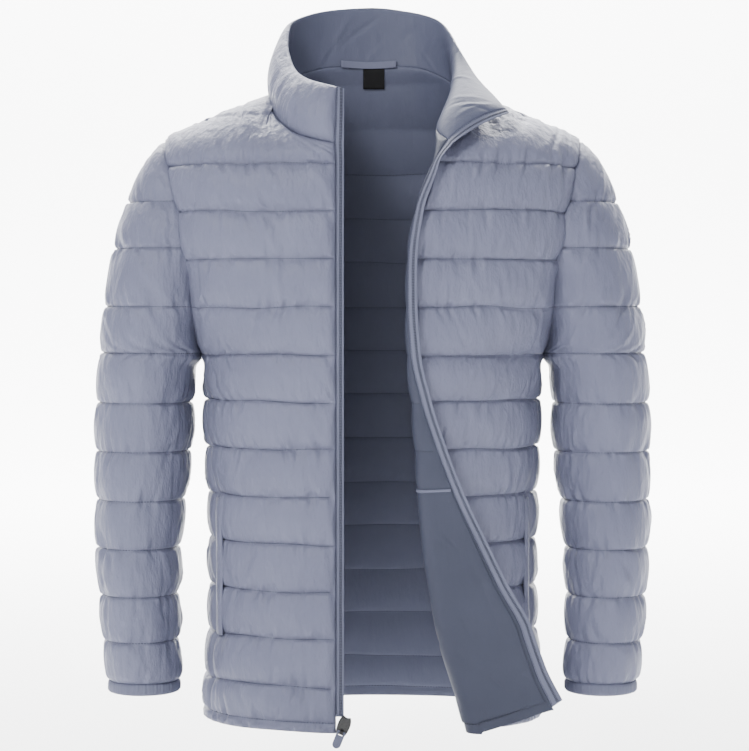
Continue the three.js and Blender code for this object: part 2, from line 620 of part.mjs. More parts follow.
const collarGrid = count(COLLAR_ROWS + 1).map((row) =>
  collarStations.map((at) => collarPoint(at, 1 - row / COLLAR_ROWS)));
const collarSign = Math.sign(normalsOf(collarGrid, 1)[COLLAR_ROWS / 2][NECK_COLUMNS + BACK_NECK_COLUMNS / 2].y);
const collarNormals = normalsOf(collarGrid, collarSign);
collarNormals[COLLAR_ROWS] = collarStations.map((at) => collar.face(at).normalize());

function collarGeometry() {
  const base = copyOf(collarGrid.map((row) => row.slice(1, -1)));
  const end = base[0].length - 1;
  const ends = [...columnOf(base, 0), ...columnOf(base, end)];
  const thick = base.map((row, r) => row.map((point) => {
    if (r === COLLAR_ROWS) return WALL;
    const fill = Math.max(Math.sin((Math.PI * r) / COLLAR_ROWS), 0) ** 0.7;
    const room = CROWDED_WALL + CROWDED_RISE * nearest(point, foldedNeck);
    return Math.min(WALL + COLLAR_PUFF * fill * rounding(nearest(point, ends)), room);
  }));
  drawIn(base[COLLAR_ROWS], base[COLLAR_ROWS - 1]);
  drawIn(columnOf(base, 0), columnOf(base, 1));
  drawIn(columnOf(base, end), columnOf(base, end - 1));
  const outside = offset(base, collarNormals.map((row) => row.slice(1, -1)), (r, c) => thick[r][c]);
  return wallGeometry(base, outside, count(COLLAR_ROWS / 2 + 1).map((i) => 2 * i));
}
add("collar", collarGeometry(), SHELL);

// Zip tapes run from the collar's top edge down the fronts' edges.
const TAPE_LIFT = 1;
const TAPE_GAP = 0.9;
const tapeRows = count(LAST_LINE_ROW / 2 + 1).map((i) => 2 * i + 2);

function tapeGeometry(front, collarColumns, frontColumns) {
  const rowsOf = (body_, collar_) => [
    ...collar_.map((row) => collarColumns.map((c) => row[c].clone())),
    ...tapeRows.map((row) => frontColumns.map((c) => body_[row][c].clone())),
  ];
  const grid = rowsOf(front.base, collarGrid);
  const faces = rowsOf(front.normals, collarNormals);
  drawIn(columnOf(grid, 0), columnOf(grid, 1), TAPE_GAP);
  const inside = offset(grid, faces, () => TAPE_LIFT);
  const outside = offset(grid, faces, () => TAPE_LIFT + TAPE_THICKNESS);
  return wallGeometry(inside, outside, count(grid.length));
}
const clothEnd = FRONT_COLUMNS + TURNED_COLUMNS;
const collarEnd = collarStations.length - 1;
const rightTape = tapeGeometry(rightFront, [1, 0], [FRONT_COLUMNS, FRONT_COLUMNS + 1]);
const leftTape = tapeGeometry(leftFront, [collarEnd - 1, collarEnd], [clothEnd, clothEnd + 1]);
add("zip_tape_right", rightTape, TRIM);
add("zip_tape_left", leftTape, TRIM);

// Pocket welts, on the fronts beside the side seams
const WELT = { fromRow: BAND_ROWS + 28, toRow: BAND_ROWS + 41, lift: 1.7, edge: 1.4, middle: 4.2 };
const WELT_SHARES = [0.06, 0.5, 0.96]; // of the distance between the panel's first two columns

function weltGeometry(front, cloth) {
  const between = (grid) => grid.slice(WELT.fromRow, WELT.toRow + 1).map((row) =>
    WELT_SHARES.map((share) => row[0].clone().lerp(row[1], share)));
  const faces = between(front.normals).map((row) => row.map((face) => face.normalize()));
  const grid = between(cloth.outside);
  const last = grid.length - 1;
  const inside = offset(grid, faces, () => WELT.lift);
  const outside = offset(grid, faces, (r, c) =>
    WELT.lift + (c === 1 && r > 0 && r < last ? WELT.middle : WELT.edge));
  return wallGeometry(inside, outside, count(grid.length));
}
add("pocket_welt_right", weltGeometry(rightFront, rightCloth), TRIM);
add("pocket_welt_left", weltGeometry(leftFront, leftCloth), TRIM);

// Inner pocket: a plain panel on the left front's lining
const POCKET = { firstColumn: 5, top: 0.75, lift: 0.6, thickness: 1.2, tapeMargin: 0.15 };

function innerPocketGeometry() {
  const rows = BODY_MAIN.filter((row) => row > BAND_ROWS + 24 && row < LAST_LINE_ROW + 5);
  const columns = (row) => {
    const picked = row.slice(POCKET.firstColumn).map((point) => point.clone());
    const end = picked.length - 1;
    picked[end].lerp(picked[end - 1], POCKET.tapeMargin);
    return picked;
  };
  const pick = (grid) => rows.map((row) => columns(grid[row]));
  const above = columns(leftCloth.base[BAND_ROWS + 24]);
  const grid = pick(leftCloth.base);
  grid.unshift(above.map((point, c) => point.lerp(grid[0][c], POCKET.top)));
  const faces = pick(leftFront.normals.map((row) => row.slice(0, -1)));
  faces.unshift(faces[0]);
  const inside = offset(grid, faces, () => -POCKET.lift);
  const outside = offset(grid, faces, () => -POCKET.lift - POCKET.thickness);
  return wallGeometry(inside, outside, count(grid.length));
}
add("inner_pocket", innerPocketGeometry(), LINING);

// How far back the inside of the back or collar is, seen from the front at a place
function insideDepth(rows, x, z) {
  for (let r = 0; r < rows.length - 1; r += 1) {
    for (let c = 0; c < rows[0].length - 1; c += 1) {
      const [a, b, d, e] = [rows[r][c], rows[r][c + 1], rows[r + 1][c], rows[r + 1][c + 1]];
      for (const [p, q, s] of [[a, e, b], [a, d, e]]) {
        const whole = (q.x - p.x) * (s.z - p.z) - (s.x - p.x) * (q.z - p.z);
        const atQ = ((x - p.x) * (s.z - p.z) - (s.x - p.x) * (z - p.z)) / whole;
        const atS = ((q.x - p.x) * (z - p.z) - (x - p.x) * (q.z - p.z)) / whole;
        if (atQ >= 0 && atS >= 0 && atQ + atS <= 1) return p.y + atQ * (q.y - p.y) + atS * (s.y - p.y);
      }
    }
  }
  return Infinity;
}

const backInside = BODY_MAIN.filter((row) => row <= BAND_ROWS).map((row) => backCloth.base[row]);
const collarInside = count(COLLAR_ROWS / 2 + 1).map((i) => collarGrid[2 * i]);
const neckDepth = (x, z) => Math.min(insideDepth(backInside, x, z), insideDepth(collarInside, x, z));

// A flat piece sewn to the inside of the neck
function neckPiece({ left, right, low, high, columns, rows, gap, thickness }) {
  const grid = count(rows + 1).map((r) => count(columns + 1).map((c) => {
    const x = mix(left, right, c / columns);
    const z = mix(high, low, r / rows);
    return vec(x, neckDepth(x, z), z);
  }));
  const toFront = grid.map((row) => row.map(() => vec(0, -1, 0)));
  const far = offset(grid, toFront, () => gap + thickness);
  return wallGeometry(offset(grid, toFront, () => gap), far, count(rows + 1));
}
const LOOP = { left: -37, right: 28, low: 58, high: 66, columns: 12, rows: 2, gap: 0.9, thickness: 1.4 };
const LABEL = { left: -11, right: 14, low: 33, high: 56.5, columns: 5, rows: 5, gap: 0.5, thickness: 0.7 };
add("hanger_loop", neckPiece(LOOP), TRIM);
add("neck_label", neckPiece(LABEL), BLACK_CLOTH);

// Zip slider, its bridge and its pull tab, which lean to the wearer's right
const SLIDER = { x: -31.5, z: -683.5, lean: 22, thickness: 7 };
const PIVOT = { z: -6.75, ahead: 2.4 }; // below the slider's middle, and in front of its face
const BRIDGE = { inner: 1.5, outer: 2.7, width: 3.6, gap: 0.25 };
const TAB = { width: 9.5, length: 19, thickness: 1.8, bar: 0.9, holeHalfWidth: 2.6, holeDepth: 3 };

const tapeDepth = rightFront.base[LAST_LINE_ROW + 2][FRONT_COLUMNS + 1].y;
const sliderMiddle = tapeDepth - TAPE_LIFT - TAPE_THICKNESS / 2;

function placed(geometry, ahead) {
  return geometry
    .translate(0, -ahead, 0)
    .rotateY(radians(SLIDER.lean))
    .translate(SLIDER.x, sliderMiddle, SLIDER.z);
}

function extruded(shape, depth) {
  const geometry = new THREE.ExtrudeGeometry(shape, { depth, bevelEnabled: false, curveSegments: 8 });
  return geometry.translate(0, 0, -depth / 2);
}

function sliderGeometry() {
  const shape = new THREE.Shape();
  shape.moveTo(-5, -10.5);
  shape.lineTo(5, -10.5);
  shape.quadraticCurveTo(7, -6, 7, 1);
  shape.quadraticCurveTo(7, 7, 4, 10.5);
  shape.quadraticCurveTo(0, 7.5, -4, 10.5);
  shape.quadraticCurveTo(-7, 7, -7, 1);
  shape.quadraticCurveTo(-7, -6, -5, -10.5);
  return placed(extruded(shape, SLIDER.thickness).rotateX(Math.PI / 2), 0);
}

function bridgeGeometry() {
  const back = BRIDGE.gap - PIVOT.ahead;
  const shape = new THREE.Shape();
  shape.moveTo(back, -BRIDGE.outer);
  shape.lineTo(0, -BRIDGE.outer);
  shape.absarc(0, 0, BRIDGE.outer, -Math.PI / 2, Math.PI / 2, false);
  shape.lineTo(back, BRIDGE.outer);
  shape.lineTo(back, BRIDGE.inner);
  shape.lineTo(0, BRIDGE.inner);
  shape.absarc(0, 0, BRIDGE.inner, Math.PI / 2, -Math.PI / 2, true);
  shape.lineTo(back, -BRIDGE.inner);
  const upright = new THREE.Matrix4().makeBasis(vec(0, -1, 0), vec(0, 0, 1), vec(-1, 0, 0));
  const geometry = extruded(shape, BRIDGE.width).applyMatrix4(upright).translate(0, 0, PIVOT.z);
  return placed(geometry, SLIDER.thickness / 2 + PIVOT.ahead);
}

function tabGeometry() {
  const half = TAB.width / 2;
  const low = half - TAB.length;
  const shape = new THREE.Shape();
  shape.moveTo(-half, TAB.bar);
  shape.lineTo(-half, low);
  shape.absarc(0, low, half, Math.PI, 2 * Math.PI, false);
  shape.lineTo(half, TAB.bar);
  const hole = new THREE.Path();
  hole.moveTo(-TAB.holeHalfWidth, -TAB.bar);
  hole.lineTo(TAB.holeHalfWidth, -TAB.bar);
  hole.lineTo(TAB.holeHalfWidth, -TAB.bar - TAB.holeDepth);
  hole.lineTo(-TAB.holeHalfWidth, -TAB.bar - TAB.holeDepth);
  shape.holes.push(hole);
  const geometry = extruded(shape, TAB.thickness).rotateX(Math.PI / 2).translate(0, 0, PIVOT.z);
  return placed(geometry, SLIDER.thickness / 2 + PIVOT.ahead);
}
add("zip_slider", sliderGeometry(), BLACK_METAL);
add("zip_bridge", bridgeGeometry(), BLACK_METAL);
add("zip_pull_tab", tabGeometry(), TRIM);

export default jacket;
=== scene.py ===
"""A puffer jacket, filled out as if worn, zip open, with its left front rolled outwards.

The cloth's tables are those of the solids, in millimetres; every object is made in metres.
"""
import math

import bmesh
import bpy
import numpy as np
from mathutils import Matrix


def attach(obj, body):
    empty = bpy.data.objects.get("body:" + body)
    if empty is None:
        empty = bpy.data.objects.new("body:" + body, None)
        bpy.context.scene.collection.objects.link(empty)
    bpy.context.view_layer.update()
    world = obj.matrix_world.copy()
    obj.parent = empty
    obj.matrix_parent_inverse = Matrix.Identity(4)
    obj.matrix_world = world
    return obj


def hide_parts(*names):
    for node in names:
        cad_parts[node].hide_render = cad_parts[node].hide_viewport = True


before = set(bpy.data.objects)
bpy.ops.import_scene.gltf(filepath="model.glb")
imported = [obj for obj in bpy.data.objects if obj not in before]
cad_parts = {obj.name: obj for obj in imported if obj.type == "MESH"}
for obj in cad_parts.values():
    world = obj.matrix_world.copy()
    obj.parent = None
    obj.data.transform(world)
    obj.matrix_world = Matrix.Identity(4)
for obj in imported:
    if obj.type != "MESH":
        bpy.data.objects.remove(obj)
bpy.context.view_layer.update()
BODY_NAME = "jacket"
PULL_NAME = "pull"

# Quilting
FIRST_LINE = -67.0
PITCH = 52.4
UNDERARM = FIRST_LINE - 4 * PITCH
HEM_STITCH = -681.0
HEM = -692.0
BODY_LINES = [FIRST_LINE + (3 - i) * PITCH for i in range(15)] + [HEM_STITCH, HEM - 0.5]
SLEEVE_LINES = [-28.0, -106.3, -158.7, -224.2, UNDERARM, -333, -388, -443, -497, -550, -601, -647]
CUFF_TOP = -647.0
CUFF_END = -660.0
SHOULDER = np.array([238.0, 5.0, -39.0])

# Grids: CAD columns, and how finely each is cut here
SHOULDER_COLUMNS = 5
NECK_COLUMNS = 4
FRONT_COLUMNS = SHOULDER_COLUMNS + NECK_COLUMNS
ROLL_COLUMNS = 4
FLAP_COLUMNS = 3
TURNED_COLUMNS = ROLL_COLUMNS + FLAP_COLUMNS
BACK_NECK_COLUMNS = 12
FINE = 12
BACK_FINE = 8
BAND_ROWS = 40
BAFFLE_ROWS = 14
SLEEVE_COLUMNS = 176
CUFF_COLUMNS = 240
COLLAR_ROWS = 44
COLLAR_HEIGHT = 75

# Padding, in millimetres
SEAM_WALL = 0.9
LINE_WALL = 3.4
BODY_PUFF = 6.7
SLEEVE_PUFF = 4.9
COLLAR_PUFF = 9.4
LINING_PUFF = 2.2
SEAM_REACH = 11.0
SHOULDER_DIP = 0.2
YOKE = 0.85
EASE = 30.0
EASE_ROWS = 15
PILLOW_CURVE = 0.5
YOKE_PILLOW = 0.93
YOKE_FADE = 30
FULL_BAFFLE = 45
LINING_CURVE = 0.7
LINING_CHANGE = 0.25
LINING_WAVE = 31.0
CROWDED_WALL = 0.9
CROWDED_RISE = 0.22

# Puckers, grooves and creases, in millimetres
PUCKER_HEIGHT = 3.0
PUCKER_REACH = 8.5
FINE_PUCKER = 5.6
COARSE_PUCKER = 11.0
GROOVE = 1.5
GROOVE_REACH = 1.2
WAVE_HEIGHT = 1.5
WAVE_PITCH = 52.0
CREASE_LENGTH = (8, 26)
CREASE_WIDTH = (1.6, 4.2)
CREASE_DEPTH = (0.7, 2.2)
BACK_CREASES = 420
RIGHT_CREASES = 210
LEFT_CREASES = 260
SLEEVE_CREASES = 330
COLLAR_CREASES = 46
COLLAR_LINING_CREASES = 40
POCKET_CREASES = 34

# Stitches and the zip's coil: pitch, length, width, height
QUILT_STITCH = (3.4, 2.4, 0.95, 0.6)
TAPE_STITCH = (3.0, 2.2, 0.7, 0.4)
COIL_RIDGE = (1.7, 1.05, 3.2, 0.8)

BODY = {
    "z": [-67, -119, -172, -224, UNDERARM, -290, -303, -363, -441, -547, -643, HEM],
    "half": [196, 196, 196, 196, 196, 188, 186, 185, 181, 180, 185, 190],
    "front": [119, 131, 138, 142, 143, 142.5, 142, 139, 136, 137, 141, 144],
    "back": [112, 121, 124, 122, 119, 118, 117, 113, 110, 116, 123, 126],
    "bend": [62, 64, 68, 74, 74, 80, 85, 90, 90, 90, 90, 90],
    "seam": [1, 1, 1, 1, 1, 0.98, 0.95, 0.86, 0.8, 0.79, 0.8, 0.8],
}
SLEEVE = {
    "z": [-39, -46, -64, -99, -130, -160, -192, -224, -250, -268, UNDERARM, -290, -303, -363, -447,
          -500, -553, -604, -647, -661],
    "outer": [238.5, 243, 256, 274, 283, 291, 296, 302, 304, 305.5, 306, 307, 308, 311.5, 310,
              309, 305, 300.5, 296.5, 296.5],
    "inner": [237.5, 226.6, 206.4, 178.2, 168.8, 165, 172, 182, 194, 196, 196, 208, 211, 212, 220,
              225, 226, 226, 222.5, 222.5],
    "y": [5, 5, 5, 4, 2, 0, -1, -2, -3, -3.3, -3.5, -4, -4.5, -8, -18, -24, -30, -36, -41, -42],
    "deep": [0.5, 20, 38, 56.6, 67.7, 73.6, 77, 77, 76, 76, 75, 74, 73, 68, 62, 58, 55, 50, 44, 44],
    "open": [92, 92, 94, 98, 103, 108, 118, 131, 150, 163, 180, 180, 180, 180, 180,
             180, 180, 180, 180, 180],
}
COLLAR = {
    "at": [-0.25, 0, 1, 2, 3, 4, 5, 6, 7, 8, 9, 10, 11, 12, 13],
    "seam": [(-31.4, -112, -46), (-41, -110, -45), (-80, -93, -35), (-104, -58, -14), (-112, -8, 11),
             (-104, 30, 32), (-80, 60, 49), (-45, 78, 58), (0, 84, 60), (45, 78, 58), (76, 58, 47),
             (98, 26, 26), (90, -22, 6), (71, -84, -26), (88, -122, -44)],
    "top": [(-31.4, -98, 17), (-39, -96, 19), (-72, -72, 30), (-88, -38, 46), (-97, 8, 80),
            (-95, 38, 103), (-74, 66, 118), (-42, 82, 126), (0, 88, 129), (40, 82, 124), (75, 63, 112),
            (98, 30, 78), (120, -20, 36), (138, -55, 12), (152, -85, -8)],
    "bulge": [(0, 0, 0), (0, -2, 0), (-1, -4, 0), (-3, -3, 0), (-4, 0, 0), (-3, 2, 0), (-2, 3, 0),
              (-1, 4, 0), (0, 4, 0), (1, 4, 0), (1, 3, 1), (-4, 0, 4), (-9, -3, 11), (-5, -5, 10),
              (-1, -2, 3)],
}
ROLL = {
    "z": [-67, -119, -172, -224, UNDERARM, -329, -381, -434, -486, -539, -591, -643, HEM],
    "fold": [66, 47, 38, 37, 38, 43, 47, 51, 56, 64, 74, 90, 103],
    "radius": [9, 8, 8, 8, 8, 9, 10, 11, 12, 13, 14, 15, 16],
    "turn": [120, 165, 180, 180, 180, 180, 180, 180, 182, 183, 184, 185, 186],
    "flap": [10, 3, 3, 4, 7, 13, 25, 40, 57, 72, 86, 84, 90],
    "lift": [0, 0, 0, 0, 0, 0, 0, 2, 5, 9, 15, 24, 33],
}
RIGHT_NECK, LEFT_NECK = 3.0, 10.4
ROLL_AT, TAPE_AT = 12.0, 12.75
RIGHT_EDGE, LEFT_EDGE = -0.25, 13.0
ZIP_SEAM = 40.0
TAPE_WIDTH = 8.6
COIL_AT = 0.66
LEFT_TAPE_WIDTH = 11.3


def smooth_curve(at, values):
    """A curve through the values without overshoot."""
    at = np.asarray(at, float)
    values = np.asarray(values, float)
    span = np.diff(at)
    chord = np.diff(values) / span
    slope = np.zeros_like(values)
    before, after = chord[:-1], chord[1:]
    same = before * after > 0
    slope[1:-1][same] = 2 * before[same] * after[same] / (before[same] + after[same])
    slope[0], slope[-1] = chord[0], chord[-1]

    def value(x):
        x = np.clip(np.asarray(x, float), at[0], at[-1])
        i = np.clip(np.searchsorted(at, x, side="right") - 1, 0, len(at) - 2)
        s = (x - at[i]) / span[i]
        rise = values[i + 1] - values[i]
        m0, m1 = slope[i] * span[i], slope[i + 1] * span[i]
        return values[i] + s * (m0 + s * (3 * rise - 2 * m0 - m1 + s * (m0 + m1 - 2 * rise)))

    return value


def curves(table, key, order):
    """One smooth curve for each column of a table."""
    at = [order(value) for value in table[key]]
    out = {}
    for name, column in table.items():
        if name == key:
            continue
        if isinstance(column[0], tuple):
            parts = [smooth_curve(at, [row[axis] for row in column]) for axis in range(3)]
            out[name] = lambda x, parts=parts: np.stack([part(x) for part in parts], axis=-1)
        else:
            out[name] = smooth_curve(at, column)
    return out


def below_shoulder(z):
    return np.sqrt(np.maximum(SHOULDER[2] - np.asarray(z, float), 0))


body = curves(BODY, "z", lambda z: -z)
roll = curves(ROLL, "z", lambda z: -z)
sleeve = curves(SLEEVE, "z", lambda z: float(below_shoulder(z)))
collar = curves(COLLAR, "at", float)


def sleeve_point(side, z, angle):
    t = below_shoulder(z)
    outer, inner = sleeve["outer"](t), sleeve["inner"](t)
    x = side * ((outer + inner) / 2 + (outer - inner) / 2 * np.cos(angle))
    y = sleeve["y"](t) + sleeve["deep"](t) * np.sin(angle)
    return np.stack(np.broadcast_arrays(x, y, np.asarray(z, float)), axis=-1)


def armhole_point(side, face, z):
    return sleeve_point(side, z, face * np.radians(sleeve["open"](below_shoulder(z))))


def outline(side, face, z, start, end, points=161):
    """Points on the body's outline at a level, from one share of the half outline to another."""
    share = np.linspace(start, end, points)
    if z >= UNDERARM:
        corner = armhole_point(side, face, z)
    else:
        corner = np.array([side * body["half"](-z), -3.5, z])
    depth = face * body["front" if face < 0 else "back"](-z)
    bend = math.radians(float(body["bend"](-z)))
    angle = share * bend
    fall = np.clip((np.cos(angle) - math.cos(bend)) / (1 - math.cos(bend)), 0, 1) ** 0.85
    x = corner[0] * np.sin(angle) / math.sin(bend)
    y = corner[1] + (depth - corner[1]) * fall
    return np.stack([x, y, np.full(points, z)], axis=-1)


def reach_of(line):
    steps = np.linalg.norm(np.diff(line, axis=0), axis=1)
    return np.concatenate([[0], np.cumsum(steps)])


def spaced(line, columns, start=0.0, end=None):
    """Points at even steps along a line."""
    reach = reach_of(line)
    at = np.linspace(start, reach[-1] if end is None else end, columns + 1)
    return np.stack([np.interp(at, reach, line[:, axis]) for axis in range(3)], axis=-1)


def front_outline(side, z, stop):
    line = outline(side, -1, z, float(body["seam"](-z)), 0)
    beyond = int(np.argmax(side * line[:, 0] < stop))
    a, b = line[beyond - 1], line[beyond]
    share = (side * a[0] - stop) / (side * (a[0] - b[0]))
    return np.vstack([line[:beyond], a + (b - a) * share])


def right_front_row(z):
    row = spaced(front_outline(-1, z, ZIP_SEAM), FRONT_COLUMNS * FINE)
    edge = row[-1] + [TAPE_WIDTH, -0.2, 0]
    tape = row[-1] + (edge - row[-1]) * np.linspace(0, 1, FINE + 1)[1:, None]
    return np.vstack([row, tape])


def left_front_row(z):
    radius = float(roll["radius"](-z))
    flat = front_outline(1, z, float(roll["fold"](-z)) + radius)
    start = flat[-1]
    turn = math.radians(float(roll["turn"](-z)))
    angle = math.pi / 2 + np.linspace(0, turn, 65)
    x = start[0] + radius * np.cos(angle)
    y = start[1] - radius + radius * np.sin(angle)
    arc = np.stack([x, y, np.full(65, z)], axis=-1)
    way = np.array([-math.cos(turn), -math.sin(turn), 0])
    line = np.vstack([arc, arc[-1] + way * float(roll["flap"](-z))])
    whole = reach_of(line)[-1]
    cloth = whole - LEFT_TAPE_WIDTH
    bent = min(radius * turn, cloth * 0.75)
    row = np.vstack([
        spaced(flat, FRONT_COLUMNS * FINE),
        spaced(line, ROLL_COLUMNS * FINE, 0, bent)[1:],
        spaced(line, FLAP_COLUMNS * FINE, bent, cloth)[1:],
        spaced(line, FINE, cloth, whole)[1:],
    ])
    first = (FRONT_COLUMNS + ROLL_COLUMNS) * FINE
    steps = np.arange(len(row) - first) / FINE
    rise = (steps + 0.3) / (FLAP_COLUMNS + 1.3)
    row[first:, 2] += float(roll["lift"](-z)) * rise
    return row


def back_row(z):
    columns = (SHOULDER_COLUMNS + BACK_NECK_COLUMNS // 2) * BACK_FINE

    def half(side):
        back_half = outline(side, 1, z, 1, 0)
        if z >= UNDERARM:
            return spaced(back_half, columns)
        wrapped = outline(side, -1, z, float(body["seam"](-z)), 1)[:-1]
        return spaced(np.vstack([wrapped, back_half]), columns)

    return np.vstack([half(-1), half(1)[::-1][1:]])


def shoulder_top(side, columns):
    share = np.arange(columns)[:, None] / columns
    neck = collar["seam"](RIGHT_NECK if side < 0 else LEFT_NECK)
    points = SHOULDER * [side, 1, 1] * (1 - share) + neck * share
    points[:, 2] += 2.5 * np.sin(math.pi * share[:, 0])
    return points


def neck_top(start, end, columns):
    return collar["seam"](np.linspace(start, end, columns + 1))


RIGHT_TOP = np.vstack([
    shoulder_top(-1, SHOULDER_COLUMNS * FINE),
    neck_top(RIGHT_NECK, 0, NECK_COLUMNS * FINE),
    neck_top(0, RIGHT_EDGE, FINE)[1:],
])
LEFT_TOP = np.vstack([
    shoulder_top(1, SHOULDER_COLUMNS * FINE),
    neck_top(LEFT_NECK, ROLL_AT, NECK_COLUMNS * FINE),
    neck_top(ROLL_AT, TAPE_AT, TURNED_COLUMNS * FINE)[1:],
    neck_top(TAPE_AT, LEFT_EDGE, FINE)[1:],
])
BACK_TOP = np.vstack([
    shoulder_top(-1, SHOULDER_COLUMNS * BACK_FINE),
    neck_top(RIGHT_NECK, LEFT_NECK, BACK_NECK_COLUMNS * BACK_FINE),
    shoulder_top(1, SHOULDER_COLUMNS * BACK_FINE)[::-1],
])


def baffle_levels(lines, rows=BAFFLE_ROWS):
    """Levels from the first line to the last, closer together beside each line."""
    out = [lines[0]]
    step = np.arange(1, rows + 1) / rows
    share = step - 0.62 * np.sin(2 * math.pi * step) / (2 * math.pi)
    for high, low in zip(lines[:-1], lines[1:]):
        out.extend(high + (low - high) * share)
    return np.array(out)


def panel_grid(row_at, top, face, armholes, fine, shoulder_ends):
    """The inside of a body panel. armholes are (column, side), shoulder_ends the columns on a shoulder."""
    levels = baffle_levels([FIRST_LINE - PITCH * i for i in range(12)] + [HEM_STITCH])
    levels = np.concatenate([levels, [-683, -685.5, -688, -690.5, HEM]])
    below = np.stack([row_at(float(z)) for z in levels])
    low = below[0]
    rise = low - row_at(FIRST_LINE - PITCH / 4)
    rise /= np.linalg.norm(rise, axis=1, keepdims=True)
    straight = top - low
    length = np.linalg.norm(straight, axis=1, keepdims=True)
    over = straight / np.maximum(length, 1e-6)
    on_shoulder = np.zeros(len(top))
    for start, end in shoulder_ends:
        on_shoulder[start:end] = 1
    kernel = np.hanning(2 * fine + 3)
    padded_ends = np.pad(on_shoulder, fine + 1, mode="edge")
    on_shoulder = np.convolve(padded_ends, kernel / kernel.sum(), mode="valid")[:, None]
    over = over * (1 - on_shoulder) + np.array([0, -face, 0.1]) * on_shoulder
    s = (1 - np.arange(BAND_ROWS) / BAND_ROWS)[:, None, None]
    band = (low * (1 - 3 * s**2 + 2 * s**3) + rise * length * (s - 2 * s**2 + s**3)
            + top * (3 * s**2 - 2 * s**3) + over * length * (s**3 - s**2))
    share = (np.arange(BAND_ROWS) / BAND_ROWS) ** 1.6
    level = SHOULDER[2] + (FIRST_LINE - SHOULDER[2]) * share
    for column, side in armholes:
        target = armhole_point(side, face, level)
        target[0] = SHOULDER * [side, 1, 1]
        change = target - band[:, column]
        inward = 1 if column == 0 else -1
        for step in range(fine):
            fade = 0.5 + 0.5 * math.cos(math.pi * step / fine)
            band[:, column + inward * step] += change * fade
    return np.concatenate([band, below])


def along_rows(grid):
    """Distance of each point along its row."""
    steps = np.linalg.norm(np.diff(grid, axis=1), axis=2)
    return np.concatenate([np.zeros((len(grid), 1)), np.cumsum(steps, axis=1)], axis=1)


def soften(grid):
    """Takes the step out of the cloth where the outline changes under the arm, away from the seams."""
    kernel = np.hanning(2 * EASE_ROWS + 1)
    kernel /= kernel.sum()
    low = grid[BAND_ROWS // 2:]
    eased = low.copy()
    for axis in (0, 1):
        for column in range(grid.shape[1]):
            held = np.pad(low[:, column, axis], EASE_ROWS, mode="reflect", reflect_type="odd")
            eased[:, column, axis] = np.convolve(held, kernel, mode="valid")
    share = np.clip(edge_reach(low, ["left", "right", "top"]) / EASE, 0, 1)[..., None]
    out = grid.copy()
    out[BAND_ROWS // 2:] = low + (eased - low) * share * share * (3 - 2 * share)
    return out


def normals_of(grid, closed=False):
    if closed:
        wide = np.concatenate([grid[:, -2:-1], grid, grid[:, 1:2]], axis=1)
        across = wide[:, 2:] - wide[:, :-2]
    else:
        across = np.gradient(grid, axis=1)
    down = np.gradient(grid, axis=0)
    out = np.cross(across, down)
    return out / np.maximum(np.linalg.norm(out, axis=-1, keepdims=True), 1e-9)


def nearest(points, others):
    flat = points.reshape(-1, 3)
    best = np.full(len(flat), 1e9)
    for other in others:
        best = np.minimum(best, np.linalg.norm(flat - other, axis=1))
    return best.reshape(points.shape[:-1])


def noise_along(seed, at, pitch):
    """Smooth random numbers from -1 to 1 along a length. seed is an integer array or number."""
    cell = np.floor(at / pitch).astype(int)
    part = at / pitch - cell
    part = part * part * (3 - 2 * part)

    def knot(index):
        mixed = np.sin(index * 127.1 + seed * 311.7 + 17.3) * 43758.5453
        return 2 * (mixed - np.floor(mixed)) - 1

    return knot(cell) * (1 - part) + knot(cell + 1) * part


def quilting(z, lines):
    """Share of the way through its baffle, its line's number, and the distance to the nearest line."""
    lines = np.asarray(lines, float)
    index = np.clip(np.searchsorted(-lines, -z, side="right") - 1, 0, len(lines) - 2)
    high, low = lines[index], lines[index + 1]
    share = np.clip((high - z) / (high - low), 0, 1)
    gap = high - low
    to_line = np.minimum(share, 1 - share) * gap
    line = index + (share > 0.5)
    return share, index, line, to_line, np.minimum(gap / FULL_BAFFLE, 1)


def creases(along, z, seed, count, region, slant=(50, 88)):
    """Soft troughs and ridges laid across the baffles within given ranges."""
    rng = np.random.default_rng(seed)
    (s0, s1), (z0, z1) = region
    total = np.zeros_like(z)
    for _ in range(count):
        centre_s, centre_z = rng.uniform(s0, s1), rng.uniform(z0, z1)
        angle = math.radians(rng.uniform(*slant)) * rng.choice([-1, 1])
        length, width = rng.uniform(*CREASE_LENGTH), rng.uniform(*CREASE_WIDTH)
        depth = rng.uniform(*CREASE_DEPTH) * rng.choice([-1, -1, 1])
        ds, dz = along - centre_s, z - centre_z
        ahead = ds * math.cos(angle) + dz * math.sin(angle)
        aside = -ds * math.sin(angle) + dz * math.cos(angle)
        total += depth * np.exp(-((ahead / length) ** 2) - (aside / width) ** 2)
    return total


